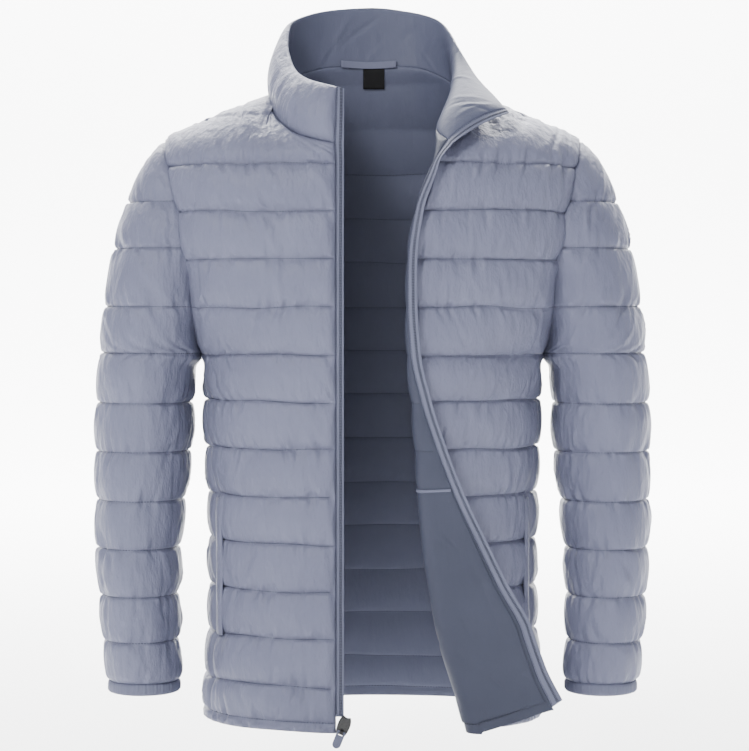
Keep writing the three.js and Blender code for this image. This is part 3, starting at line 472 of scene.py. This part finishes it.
def padding(grid, lines, puff, seed, ramp, crease_count, yoke=0.0):
    """Thickness of the padded cloth over its inside, with puckers at the stitching."""
    z = grid[..., 2]
    along = along_rows(grid)
    share, index, line, to_line, size = quilting(z, lines)
    pillow = np.sin(math.pi * share) ** PILLOW_CURVE * size
    pillow = pillow + (YOKE_PILLOW - pillow) * yoke * np.clip((z - FIRST_LINE) / YOKE_FADE, 0, 1)
    fullness = (1 + 0.13 * noise_along(index + seed, along, 63.0)
                + 0.05 * noise_along(index + 9 * seed, along, 23.0))
    fine = noise_along(line + 31 * seed, along, FINE_PUCKER)
    pucker = fine + 0.6 * noise_along(line + 57 * seed, along, COARSE_PUCKER)
    near_line = PUCKER_HEIGHT * np.exp(-to_line / PUCKER_REACH) * (1 - np.exp(-to_line / GROOVE_REACH))
    pucker = (pucker - 0.5 * np.abs(pucker)) * near_line
    region = ((0, float(along.max())), (float(z.min()), float(z.max())))
    fold = creases(along, z, seed, crease_count, region) * np.clip(to_line / 6, 0.15, 1)
    thick = LINE_WALL + puff * pillow * fullness + pucker + fold
    thick -= GROOVE * np.exp(-((to_line / GROOVE_REACH) ** 2))
    return SEAM_WALL + (thick - SEAM_WALL) * ramp, along


def waviness(z, along, lines, seed):
    """Quilting lines that rise and dip a little along their way."""
    share, index, _, _, size = quilting(z, lines)
    high = noise_along(index + 5 * seed, along, WAVE_PITCH)
    low = noise_along(index + 1 + 5 * seed, along, WAVE_PITCH)
    return WAVE_HEIGHT * (high * (1 - share) + low * share) * size


def ramp_of(distance, reach=SEAM_REACH):
    return np.sqrt(1 - (1 - np.clip(distance / reach, 0, 1)) ** 2)


def edge_reach(grid, sides):
    """Distance along the cloth to the named edges."""
    down = np.linalg.norm(np.diff(grid, axis=0), axis=2)
    from_left = along_rows(grid)
    from_top = np.concatenate([np.zeros((1, grid.shape[1])), np.cumsum(down, axis=0)], axis=0)
    parts = {"left": from_left, "right": from_left[:, -1:] - from_left, "top": from_top,
             "bottom": from_top[-1:] - from_top}
    return np.minimum.reduce([parts[side] for side in sides])


# Meshes
MM = 0.001


def mesh_object(name, points, faces, materials, face_material=None, smooth=True):
    mesh = bpy.data.meshes.new(name)
    mesh.from_pydata([tuple(p) for p in np.asarray(points) * MM], [], faces)
    for material in materials:
        mesh.materials.append(material)
    mesh.update()
    if face_material is not None:
        mesh.polygons.foreach_set("material_index", face_material)
    mesh.polygons.foreach_set("use_smooth", [smooth] * len(mesh.polygons))
    obj = bpy.data.objects.new(name, mesh)
    bpy.context.scene.collection.objects.link(obj)
    work = bmesh.new()
    work.from_mesh(mesh)
    bmesh.ops.remove_doubles(work, verts=work.verts, dist=1e-6)
    bmesh.ops.recalc_face_normals(work, faces=work.faces)
    work.to_mesh(mesh)
    work.free()
    mesh.update()
    return obj


def wall(name, inside, outside, materials, closed=False):
    """A closed wall between two grids; its inside takes the second material."""
    rows, columns = inside.shape[:2]
    points = np.concatenate([outside.reshape(-1, 3), inside.reshape(-1, 3)])
    index = np.arange(rows * columns).reshape(rows, columns)
    quads = np.stack([index[:-1, :-1], index[:-1, 1:], index[1:, 1:], index[1:, :-1]], axis=-1)
    quads = quads.reshape(-1, 4)
    shift = rows * columns
    rims = []
    edges = [index[0], index[-1][::-1]]
    if not closed:
        edges += [index[:, 0][::-1], index[:, -1]]
    for edge in edges:
        a, b = edge[:-1], edge[1:]
        rims.append(np.stack([a, b, b + shift, a + shift], axis=-1))
    rims = np.concatenate(rims)
    faces = np.concatenate([quads, quads[:, ::-1] + shift, rims])
    kind = np.concatenate([np.zeros(len(quads), int), np.ones(len(quads), int), np.zeros(len(rims), int)])
    if len(materials) == 1:
        kind[:] = 0
    return mesh_object(name, points, faces.tolist(), materials, kind.tolist())


def beads(name, lines, normals, material, pitch, length, width, height, sink=0.1):
    """Short raised stitches or zip teeth along lines of points."""
    points, faces = [], []
    corners = [(-1, -1, 0), (1, -1, 0), (1, 1, 0), (-1, 1, 0), (-0.6, -0.4, 1), (0.6, -0.4, 1),
               (0.6, 0.4, 1), (-0.6, 0.4, 1)]
    sides = [(0, 3, 2, 1), (4, 5, 6, 7), (0, 1, 5, 4), (1, 2, 6, 5), (2, 3, 7, 6), (3, 0, 4, 7)]
    for line, normal in zip(lines, normals):
        reach = reach_of(line)
        at = np.arange(pitch / 2, reach[-1] - pitch / 2, pitch)
        if not len(at):
            continue
        here = np.stack([np.interp(at, reach, line[:, k]) for k in range(3)], axis=-1)
        ahead = np.stack([np.interp(at + 0.5, reach, line[:, k]) for k in range(3)], axis=-1)
        up = np.stack([np.interp(at, reach, normal[:, k]) for k in range(3)], axis=-1)
        up /= np.linalg.norm(up, axis=1, keepdims=True)
        way = ahead - here
        way -= up * np.sum(way * up, axis=1, keepdims=True)
        way /= np.maximum(np.linalg.norm(way, axis=1, keepdims=True), 1e-9)
        aside = np.cross(up, way)
        for k in range(len(at)):
            start = len(points)
            for a, b, c in corners:
                offset = way[k] * a * length / 2 + aside[k] * b * width / 2 + up[k] * (c * height - sink)
                points.append(here[k] + offset)
            faces.extend([tuple(start + i for i in face) for face in sides])
    return mesh_object(name, points, faces, [material], smooth=False)


# Materials
def material(name, color, roughness, metallic=0.0, sheen=0.0, coat=0.0, specular=0.5):
    mat = bpy.data.materials.new(name)
    mat.use_nodes = True
    shader = mat.node_tree.nodes["Principled BSDF"]
    shader.inputs["Base Color"].default_value = (*color, 1)
    shader.inputs["Roughness"].default_value = roughness
    shader.inputs["Metallic"].default_value = metallic
    shader.inputs["Sheen Weight"].default_value = sheen
    shader.inputs["Sheen Roughness"].default_value = 0.4
    shader.inputs["Specular IOR Level"].default_value = specular
    shader.inputs["Coat Weight"].default_value = coat
    shader.inputs["Coat Roughness"].default_value = 0.3
    return mat, mat.node_tree, shader


def cloth(name, dark, light, roughness, weave, crinkle, sheen):
    """Woven nylon: a fine weave, slow changes of tone, and small crinkles."""
    mat, tree, shader = material(name, light, roughness, sheen=sheen, specular=0.16)
    new, link = tree.nodes.new, tree.links.new
    place = new("ShaderNodeTexCoord")
    tone = new("ShaderNodeTexNoise")
    tone.inputs["Scale"].default_value = 14
    tone.inputs["Detail"].default_value = 5
    mixer = new("ShaderNodeMix")
    mixer.data_type = "RGBA"
    mixer.inputs[6].default_value = (*dark, 1)
    mixer.inputs[7].default_value = (*light, 1)
    link(place.outputs["Object"], tone.inputs["Vector"])
    link(tone.outputs["Fac"], mixer.inputs[0])
    link(mixer.outputs[2], shader.inputs["Base Color"])
    gloss = new("ShaderNodeMapRange")
    gloss.inputs["To Min"].default_value = roughness - 0.06
    gloss.inputs["To Max"].default_value = roughness + 0.08
    link(tone.outputs["Fac"], gloss.inputs["Value"])
    link(gloss.outputs["Result"], shader.inputs["Roughness"])
    threads = []
    for direction in ("X", "Z"):
        wave = new("ShaderNodeTexWave")
        wave.bands_direction = direction
        wave.inputs["Scale"].default_value = weave
        wave.inputs["Distortion"].default_value = 0.4
        link(place.outputs["Object"], wave.inputs["Vector"])
        threads.append(wave)
    product = new("ShaderNodeMath")
    product.operation = "MAXIMUM"
    link(threads[0].outputs["Fac"], product.inputs[0])
    link(threads[1].outputs["Fac"], product.inputs[1])
    weave_bump = new("ShaderNodeBump")
    weave_bump.inputs["Strength"].default_value = 0.12
    weave_bump.inputs["Distance"].default_value = 0.0002
    link(product.outputs[0], weave_bump.inputs["Height"])
    crease = new("ShaderNodeTexNoise")
    crease.inputs["Scale"].default_value = 110
    crease.inputs["Detail"].default_value = 4
    crease.inputs["Roughness"].default_value = 0.55
    stretch = new("ShaderNodeMapping")
    stretch.inputs["Scale"].default_value = (1, 1, 0.36)
    stretch.inputs["Rotation"].default_value = (0, 0.3, 0)
    link(place.outputs["Object"], stretch.inputs["Vector"])
    link(stretch.outputs["Vector"], crease.inputs["Vector"])
    crease_bump = new("ShaderNodeBump")
    crease_bump.inputs["Strength"].default_value = crinkle
    crease_bump.inputs["Distance"].default_value = 0.004
    link(crease.outputs["Fac"], crease_bump.inputs["Height"])
    link(weave_bump.outputs["Normal"], crease_bump.inputs["Normal"])
    link(crease_bump.outputs["Normal"], shader.inputs["Normal"])
    return mat


SHELL = cloth("shell_nylon", (0.098, 0.104, 0.158), (0.136, 0.144, 0.21), 0.42, 900, 0.8, 0.0)
LINING = cloth("lining_nylon", (0.06, 0.066, 0.104), (0.08, 0.087, 0.132), 0.5, 900, 0.2, 0.0)
# The turned-out flap's lining is the body lining's cloth in a darker colour: painted shade on the left
# front's lining and its inner pocket.
SHADED_FLAP_LINING = cloth("flap_lining_painted_shade", (0.032, 0.036, 0.057), (0.043, 0.048, 0.074), 0.5, 900, 0.16, 0.0)
TRIM = cloth("trim_tape", (0.09, 0.097, 0.146), (0.12, 0.128, 0.188), 0.62, 500, 0.06, 0.0)
THREAD = cloth("stitching_thread", (0.022, 0.025, 0.038), (0.04, 0.044, 0.064), 0.6, 500, 0.05, 0.0)
LABEL = cloth("label_satin", (0.003, 0.003, 0.004), (0.006, 0.006, 0.007), 0.6, 600, 0.1, 0.0)
COIL = cloth("zip_coil", (0.03, 0.033, 0.048), (0.055, 0.06, 0.085), 0.4, 500, 0.1, 0.0)
METAL, metal_tree, metal_shader = material("slider_enamel", (0.006, 0.006, 0.007), 0.25, 0.3, coat=0.4)
wear = metal_tree.nodes.new("ShaderNodeTexNoise")
wear.inputs["Scale"].default_value = 400
wear_range = metal_tree.nodes.new("ShaderNodeMapRange")
wear_range.inputs["To Min"].default_value = 0.18
wear_range.inputs["To Max"].default_value = 0.4
metal_tree.links.new(wear.outputs["Fac"], wear_range.inputs["Value"])
metal_tree.links.new(wear_range.outputs["Result"], metal_shader.inputs["Roughness"])


def finish_piece(obj, nodes=(), rides=BODY_NAME):
    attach(obj, rides)
    if nodes:
        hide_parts(*nodes)
    return obj


# Crowded places, where the padding has to stay thin
UNDERARM_LEVELS = np.linspace(-190, UNDERARM, 9)
UNDERARM_CURVE = {side: [armhole_point(side, face, z) for face in (-1, 1) for z in UNDERARM_LEVELS]
                  for side in (-1, 1)}
FOLDED_NECK = list(collar["seam"](np.linspace(LEFT_NECK + 0.3, LEFT_EDGE, 14)))


def dip_along(columns, shoulder_ends):
    """How far the padding falls at the top edge: little on the shoulder, all the way at the neck."""
    dip = np.ones(columns)
    for start, end in shoulder_ends:
        dip[start:end] = SHOULDER_DIP
    return dip[None, :]


def crowd(thick, grid, others):
    return np.minimum(thick, CROWDED_WALL + CROWDED_RISE * nearest(grid, others))


def body_piece(name, grid, face, top_dip, others, seed, crease_count, limit=None, flat_from=None,
               inner=None):
    """Builds one padded panel with its stitches, and returns its outside and its normals."""
    grid = soften(grid)
    normals = normals_of(grid)
    middle = normals[BAND_ROWS + 60, grid.shape[1] // 4]
    normals *= np.sign(middle[1] * face)
    dip = 1 - (1 - ramp_of(edge_reach(grid, ["top"]))) * top_dip
    ramp = np.minimum(ramp_of(edge_reach(grid, ["left", "right"])), dip)
    thick, along = padding(grid, BODY_LINES, BODY_PUFF, seed, ramp, crease_count, YOKE)
    thick = crowd(thick, grid, others)
    if limit is not None:
        thick = np.minimum(thick, limit)
    share, _, _, _, size = quilting(grid[..., 2], BODY_LINES)
    lining = LINING_PUFF * np.sin(math.pi * share) ** LINING_CURVE * size * ramp
    lining *= 1 + LINING_CHANGE * noise_along(seed + 3, along, LINING_WAVE)
    if flat_from is not None:
        lining *= flat_from
    outside = grid + normals * thick[..., None]
    inside = grid - normals * lining[..., None]
    wave = waviness(grid[..., 2], along, BODY_LINES, seed) * ramp
    outside[..., 2] += wave
    inside[..., 2] += wave
    piece = wall(name, inside, outside, [SHELL, inner or LINING])
    finish_piece(piece, [name])
    lines, line_normals = [], []
    for k in range(12):
        row = BAND_ROWS + k * BAFFLE_ROWS
        lines.append(outside[row, 3:-3])
        line_normals.append(normals[row, 3:-3])
        lines.append(inside[row, 3:-3])
        line_normals.append(-normals[row, 3:-3])
    row = BAND_ROWS + 12 * BAFFLE_ROWS
    for grid_side, sign in ((outside, 1), (inside, -1)):
        lines.append(grid_side[row])
        line_normals.append(sign * normals[row])
    stitches = beads(f"{name}_stitches", lines, line_normals, THREAD, *QUILT_STITCH)
    finish_piece(stitches)
    return outside, normals


BACK_ENDS = SHOULDER_COLUMNS * BACK_FINE
BACK_SHOULDERS = [(0, BACK_ENDS), (len(BACK_TOP) - BACK_ENDS, len(BACK_TOP))]
back_grid = panel_grid(back_row, BACK_TOP, 1, [(0, -1), (len(BACK_TOP) - 1, 1)], BACK_FINE, BACK_SHOULDERS)
back_dip = dip_along(back_grid.shape[1], BACK_SHOULDERS)
body_piece("back", back_grid, 1, back_dip, UNDERARM_CURVE[-1] + UNDERARM_CURVE[1], 11, BACK_CREASES)

FRONT_ENDS = SHOULDER_COLUMNS * FINE
CLOTH_RIGHT = FRONT_COLUMNS * FINE
CLOTH_LEFT = (FRONT_COLUMNS + TURNED_COLUMNS) * FINE
right_grid = panel_grid(right_front_row, RIGHT_TOP, -1, [(0, -1)], FINE, [(0, FRONT_ENDS)])
left_grid = panel_grid(left_front_row, LEFT_TOP, -1, [(0, 1)], FINE, [(0, FRONT_ENDS)])
right_out, right_normals = body_piece(
    "front_right", right_grid[:, :CLOTH_RIGHT + 1], -1, dip_along(CLOTH_RIGHT + 1, [(0, FRONT_ENDS)]),
    UNDERARM_CURVE[-1], 5, RIGHT_CREASES)

left_cloth = left_grid[:, :CLOTH_LEFT + 1]
radius_here = roll["radius"](-left_cloth[..., 2])
in_roll = np.arange(CLOTH_LEFT + 1) > FRONT_COLUMNS * FINE
roll_limit = np.where(in_roll[None, :], 0.62 * radius_here, 1.35 * radius_here)
pocket_share = np.clip((left_cloth[..., 2] + 432) / 20, 0, 1)
plain = np.where(np.arange(CLOTH_LEFT + 1)[None, :] > 4 * FINE, pocket_share, 1)
# The left front's lining takes the darker copy of the lining cloth, which is painted shade.
left_out, left_normals = body_piece(
    "front_left", left_cloth, -1, dip_along(CLOTH_LEFT + 1, [(0, FRONT_ENDS)]),
    UNDERARM_CURVE[1] + FOLDED_NECK, 7, LEFT_CREASES, roll_limit, plain, SHADED_FLAP_LINING)


# Sleeves
def sleeve_piece(name, side, seed):
    cap = np.linspace(0, 1, 30) ** 1.6 * (FIRST_LINE - SHOULDER[2]) + SHOULDER[2]
    cap = cap[:-1]
    upper = np.linspace(FIRST_LINE, -106.3, 13)[:-1]
    levels = np.concatenate([cap, upper, baffle_levels(SLEEVE_LINES[1:], 14)])
    joined = int(np.argmin(np.abs(levels - UNDERARM)))
    share = np.linspace(-1, 1, SLEEVE_COLUMNS + 1)
    rows = []
    for r, z in enumerate(levels):
        open_angle = math.pi if r > joined else math.radians(float(sleeve["open"](below_shoulder(z))))
        rows.append(sleeve_point(side, float(z), share * open_angle))
    grid = np.stack(rows)
    normals = normals_of(grid)
    normals[joined:] = normals_of(grid[joined:], closed=True)
    middle = normals[joined + 20, SLEEVE_COLUMNS // 2]
    normals *= np.sign(middle[0] * side)
    rim = [armhole_point(side, face, z) for face in (-1, 1) for z in levels[:joined + 1:2]]
    ramp = ramp_of(nearest(grid, rim))
    ramp = np.minimum(ramp, ramp_of(grid[..., 2] - CUFF_TOP + 1.5, 9))
    thick, _ = padding(grid, SLEEVE_LINES, SLEEVE_PUFF, seed, ramp, SLEEVE_CREASES)
    half = SLEEVE_COLUMNS / 2
    seam = np.exp(-(((np.abs(share) * SLEEVE_COLUMNS / 2 - half * 0.985)) / 1.2) ** 2)
    thick = thick - 1.6 * seam[None, :] * (np.arange(len(levels)) > joined)[:, None]
    wrap = 0.5 * (thick[joined:, :1] + thick[joined:, -1:])
    column = np.arange(SLEEVE_COLUMNS + 1)
    blend = np.clip(1 - np.minimum(column, column[::-1]) / 6, 0, 1)
    thick[joined:] = thick[joined:] * (1 - blend) + wrap * blend
    thick = crowd(thick, grid, UNDERARM_CURVE[side])
    outside = grid + normals * thick[..., None]
    inside = grid - normals * 0.4
    piece = wall(name, inside, outside, [SHELL, LINING])
    finish_piece(piece, [name])
    lines, line_normals = [], []
    for z in SLEEVE_LINES[1:-1]:
        row = int(np.argmin(np.abs(levels - z)))
        lines.append(outside[row, 2:-2])
        line_normals.append(normals[row, 2:-2])
    stitches = beads(f"{name}_stitches", lines, line_normals, THREAD, *QUILT_STITCH)
    finish_piece(stitches)


def cuff_piece(name, side):
    """Elastic binding: a flat band with fine gathers."""
    levels = np.array([-646.6, -647.4, -649, -651, -653.5, -656, -658, -659.4, CUFF_END])
    profile = np.array([0.6, 2.6, 3.6, 3.9, 3.9, 3.9, 3.6, 2.6, 0.8])
    share = np.linspace(-math.pi, math.pi, CUFF_COLUMNS + 1)
    grid = np.stack([sleeve_point(side, float(z), share) for z in levels])
    normals = normals_of(grid, closed=True)
    normals *= np.sign(normals[4, CUFF_COLUMNS // 2, 0] * side)
    gather = 0.35 * np.sin(share * 62) + 0.2 * np.sin(share * 37 + 1)
    height = profile[:, None] + gather[None, :] * np.clip(profile[:, None] / 4, 0, 1)
    piece = wall(name, grid - normals * 0.3, grid + normals * height[..., None], [TRIM])
    finish_piece(piece, [name])


sleeve_piece("sleeve_right", -1, 21)
sleeve_piece("sleeve_left", 1, 23)
cuff_piece("cuff_right", -1)
cuff_piece("cuff_left", 1)

# Collar
stations = np.concatenate([
    np.linspace(0, RIGHT_NECK, NECK_COLUMNS * FINE + 1),
    np.linspace(RIGHT_NECK, LEFT_NECK, BACK_NECK_COLUMNS * BACK_FINE + 1)[1:],
    np.linspace(LEFT_NECK, ROLL_AT, NECK_COLUMNS * FINE + 1)[1:],
    np.linspace(ROLL_AT, TAPE_AT, 3 * FINE + 1)[1:],
])


def collar_points(at, rows):
    share = (1 - np.linspace(0, 1, rows + 1))[:, None, None]
    low, high, bulge = collar["seam"](at), collar["top"](at), collar["bulge"](at)
    return low + (high - low) * share + bulge * 4 * share * (1 - share)


collar_grid = collar_points(stations, COLLAR_ROWS)
collar_normals = normals_of(collar_grid)
collar_normals *= np.sign(collar_normals[COLLAR_ROWS // 2, NECK_COLUMNS * FINE + 6 * BACK_FINE, 1])
share = np.linspace(0, 1, COLLAR_ROWS + 1)[:, None]
ends = ramp_of(edge_reach(collar_grid, ["left", "right"]))
collar_along = along_rows(collar_grid)
pillow = np.sin(math.pi * share) ** 0.55
height_mm = (1 - share) * COLLAR_HEIGHT * np.ones_like(collar_along)
collar_region = ((0, float(collar_along.max())), (5, 70))
puckers = noise_along(3, collar_along, 6.5) * np.exp(-height_mm / 10) * (1 - np.exp(-height_mm / 2))
top_pucker = noise_along(8, collar_along, 9.0) * np.exp(-(COLLAR_HEIGHT - height_mm) / 9)
collar_creases = creases(collar_along, height_mm, 41, COLLAR_CREASES, collar_region)
collar_thick = (1.6 + COLLAR_PUFF * pillow * (1 + 0.08 * noise_along(2, collar_along, 55.0))
                + (0.9 * puckers + 0.5 * top_pucker + collar_creases) * pillow)
collar_thick = SEAM_WALL + (collar_thick - SEAM_WALL) * ends
collar_thick = crowd(collar_thick, collar_grid, FOLDED_NECK)
collar_lining = 3.2 * pillow * ends * (1 + 0.2 * noise_along(6, collar_along, 38.0))
lining_creases = creases(collar_along, height_mm, 43, COLLAR_LINING_CREASES, collar_region)
collar_lining = collar_lining + 0.6 * lining_creases * pillow
collar_out = collar_grid + collar_normals * collar_thick[..., None]
collar_in = collar_grid - collar_normals * collar_lining[..., None]
collar_piece = finish_piece(wall("collar", collar_in, collar_out, [SHELL, LINING]), ["collar"])


# Zip tapes with their coil
def tape_piece(name, front_grid, front_normals_sign, first, last, collar_at, short_rows):
    """The tape along a front's edge and up the collar's end, from its seam to its free edge."""
    low = front_grid[1:, first:last + 1]
    up = collar_points(np.linspace(*collar_at, last - first + 1), COLLAR_ROWS)
    grid = np.concatenate([up, low])
    normals = normals_of(grid)
    normals *= np.sign(normals[COLLAR_ROWS + 80, 2, 1] * front_normals_sign)
    wide = np.linspace(0, 1, last - first + 1)
    lift = 2.0 - 0.9 * wide + 0.6 * np.exp(-((wide - 0.1) / 0.06) ** 2)
    lift += 0.5 * np.exp(-((wide - 0.62) / 0.14) ** 2)
    outside = grid + normals * lift[None, :, None]
    inside = grid + normals * 0.2
    keep = len(grid) - short_rows
    piece = wall(name, inside[:keep], outside[:keep], [TRIM])
    finish_piece(piece, [name])
    seam_line = outside[:keep, 1]
    stitches = beads(f"{name}_stitches", [seam_line, inside[:keep, 1]],
                     [normals[:keep, 1], -normals[:keep, 1]], THREAD, *TAPE_STITCH)
    finish_piece(stitches)
    middle = int((last - first) * COIL_AT)
    coil = beads(f"{name}_coil", [outside[:keep, middle], inside[:keep, middle]],
                 [normals[:keep, middle], -normals[:keep, middle]], COIL, *COIL_RIDGE)
    finish_piece(coil)


tape_piece("zip_tape_right", right_grid, -1, CLOTH_RIGHT, CLOTH_RIGHT + FINE, (0, RIGHT_EDGE), 9)
tape_piece("zip_tape_left", left_grid, 1, CLOTH_LEFT, CLOTH_LEFT + FINE, (TAPE_AT, LEFT_EDGE), 2)


# Welts
def welt_piece(name, outside, normals):
    first, last = BAND_ROWS + 7 * BAFFLE_ROWS, BAND_ROWS + 10 * BAFFLE_ROWS + 3
    edge = outside[first:last + 1, 1]
    far = outside[first:last + 1, int(1.1 * FINE)]
    wide = np.linspace(0, 1, 11)[None, :, None]
    grid = edge[:, None] * (1 - wide) + far[:, None] * wide
    kernel = np.ones(15) / 15
    smooth = np.pad(grid, ((7, 7), (0, 0), (0, 0)), mode="edge")
    for c in range(grid.shape[1]):
        for axis in range(3):
            grid[:, c, axis] = np.convolve(smooth[:, c, axis], kernel, mode="valid")
    faces = np.repeat(normals[first:last + 1, 4:5], 11, axis=1)
    bulge = np.sin(math.pi * np.linspace(0, 1, 11)) ** 0.6
    ends = np.sin(math.pi * np.linspace(0.004, 0.996, len(grid))) ** 0.15
    height = 2.2 + 3.0 * bulge[None, :] * ends[:, None]
    piece = wall(name, grid + faces * 0.4, grid + faces * height[..., None], [SHELL])
    finish_piece(piece, [name])


welt_piece("pocket_welt_right", right_out, right_normals)
welt_piece("pocket_welt_left", left_out, left_normals)

# Inner pocket on the left front's lining
first_row = int(np.argmax(left_cloth[:, 5 * FINE, 2] < -421))
last_row = BAND_ROWS + 12 * BAFFLE_ROWS
pocket_grid = left_cloth[first_row:last_row, 5 * FINE:CLOTH_LEFT - 1]
pocket_normals = left_normals[first_row:last_row, 5 * FINE:CLOTH_LEFT - 1]
pocket_along = along_rows(pocket_grid)
pocket_wave = creases(pocket_along, pocket_grid[..., 2], 71, POCKET_CREASES,
                      ((0, float(pocket_along.max())), (-670, -430)), (20, 80))
border = ramp_of(edge_reach(pocket_grid, ["left", "right", "bottom", "top"]), 10)
pocket_height = 1.5 + 0.7 * border + 0.55 * np.clip(pocket_wave, -1.6, 1.6) * border
# The inner pocket takes the same darker copy of the lining cloth, which is painted shade.
inner = wall("inner_pocket", pocket_grid - pocket_normals * pocket_height[..., None],
             pocket_grid - pocket_normals * 0.5, [SHADED_FLAP_LINING])
finish_piece(inner, ["inner_pocket"])
binding_height = np.array([1.6, 2.5, 2.7, 2.5, 1.6])[:, None, None]
binding_grid = pocket_grid[0:1] + np.array([0, 0, -1.0]) * np.linspace(0, 3.4, 5)[:, None, None]
binding = wall("inner_pocket_binding", binding_grid - pocket_normals[0:1] * 1.2,
               binding_grid - pocket_normals[0:1] * binding_height, [TRIM])
finish_piece(binding)


# Hanger loop and label at the inside of the neck
def neck_depth(x, z):
    middle = slice(BACK_ENDS, len(BACK_TOP) - BACK_ENDS)
    cloth_points = back_grid[:BAND_ROWS, middle].reshape(-1, 3)
    far = (cloth_points[:, 0] - x) ** 2 + (cloth_points[:, 2] - z) ** 2
    pick = np.argsort(far)[:4]
    weight = 1 / (far[pick] + 0.01)
    return float(np.sum(cloth_points[pick, 1] * weight) / weight.sum())


def neck_piece(name, left, right, low, high, gap, thick, mat, sag=0.0):
    columns, rows = 26, 10
    xs, zs = np.linspace(left, right, columns + 1), np.linspace(high, low, rows + 1)
    grid = np.zeros((rows + 1, columns + 1, 3))
    for r, z in enumerate(zs):
        for c, x in enumerate(xs):
            drop = sag * math.sin(math.pi * c / columns)
            grid[r, c] = (x, neck_depth(x, min(z - drop, 56)) - LINING_PUFF * 0.8, z - drop)
    front = grid - [0, gap + thick, 0]
    piece = wall(name, front, grid - [0, gap, 0], [mat])
    finish_piece(piece, [name])
    return piece


neck_piece("hanger_loop", -37, 28, 58, 66, 0.6, 1.6, TRIM, sag=1.6)
label = neck_piece("neck_label", -11, 14, 33, 56.5, 0.4, 0.8, LABEL)


# Slider, bridge and pull tab keep the solids' shapes, with rounded edges.
def rounded_copy(node, mat, width, rides=BODY_NAME):
    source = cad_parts[node]
    mesh = source.data.copy()
    mesh.materials.clear()
    mesh.materials.append(mat)
    obj = bpy.data.objects.new(f"{node}_fine", mesh)
    bpy.context.scene.collection.objects.link(obj)
    work = bmesh.new()
    work.from_mesh(mesh)
    bmesh.ops.remove_doubles(work, verts=work.verts, dist=1e-6)
    bmesh.ops.dissolve_limit(work, angle_limit=math.radians(2), verts=work.verts, edges=work.edges)
    work.to_mesh(mesh)
    work.free()
    bevel = obj.modifiers.new("bevel", "BEVEL")
    bevel.width = width * MM
    bevel.segments = 3
    bevel.limit_method = "ANGLE"
    finish_piece(obj, [node], rides)
    return obj


rounded_copy("zip_slider", METAL, 0.9)
rounded_copy("zip_bridge", METAL, 0.3)
rounded_copy("zip_pull_tab", TRIM, 0.5, PULL_NAME)

# Studio: a pale floor that curves up into a backdrop, soft lights and the camera
FLOOR = -0.80
WALL_AT = 5.2
BEND = 1.2
profile = [(-9.0, FLOOR), (WALL_AT, FLOOR)]
profile += [(WALL_AT + BEND * math.sin(a), FLOOR + BEND - BEND * math.cos(a))
            for a in np.linspace(0.1, math.pi / 2, 14)]
profile += [(WALL_AT + BEND, 8.0)]
stage_points = [(x * 1000, y * 1000, z * 1000) for y, z in profile for x in (-12, 12)]
stage_faces = [(2 * i, 2 * i + 1, 2 * i + 3, 2 * i + 2) for i in range(len(profile) - 1)]
paper = material("studio_paper", (0.95, 0.95, 0.95), 0.9)[0]
stage = mesh_object("studio_floor", stage_points, stage_faces, [paper])

world = bpy.data.worlds.new("studio")
bpy.context.scene.world = world
world.use_nodes = True
world.node_tree.nodes["Background"].inputs["Color"].default_value = (1, 1, 1, 1)
world.node_tree.nodes["Background"].inputs["Strength"].default_value = 0.42


def area_light(name, place, aim, size, power):
    light = bpy.data.lights.new(name, "AREA")
    light.shape = "RECTANGLE"
    light.size, light.size_y = size
    light.energy = power
    obj = bpy.data.objects.new(name, light)
    obj.location = place
    way = np.array(aim) - np.array(place)
    pitch = math.atan2(-way[2], math.hypot(way[0], way[1]))
    heading = math.atan2(way[1], way[0])
    obj.rotation_euler = (math.pi / 2 - pitch, 0, heading - math.pi / 2)
    bpy.context.scene.collection.objects.link(obj)


LIGHTS = [
    # name, place, aim, size, watts
    ("key", (-1.7, -2.3, 1.9), (0, 0, -0.35), (0.8, 0.8), 120),
    ("front", (-0.4, -3.2, 0.2), (0, 0, -0.35), (1.0, 1.0), 26),
    ("top", (0.2, -0.4, 2.3), (0, 0, -0.2), (1.4, 1.0), 16),
    ("fill", (1.7, -2.6, 0.1), (0, 0, -0.35), (1.2, 1.6), 12),
    ("backdrop", (0, 3.6, 4.4), (0, 5.6, -0.6), (8.0, 1.5), 3300),
]
for row in LIGHTS:
    area_light(*row)

MIDDLE_OFF = 2
PICTURE_HEIGHT = 751
CAMERA_DOWN = 1.54
camera = bpy.data.cameras.new("camera")
camera.lens = 116.7
camera.sensor_width = 36
camera.shift_x = MIDDLE_OFF / PICTURE_HEIGHT
camera_obj = bpy.data.objects.new("camera", camera)
camera_obj.location = (0, -2.8, -0.228)
camera_obj.rotation_euler = (math.radians(90 - CAMERA_DOWN), 0, 0)
bpy.context.scene.collection.objects.link(camera_obj)
bpy.context.scene.camera = camera_obj
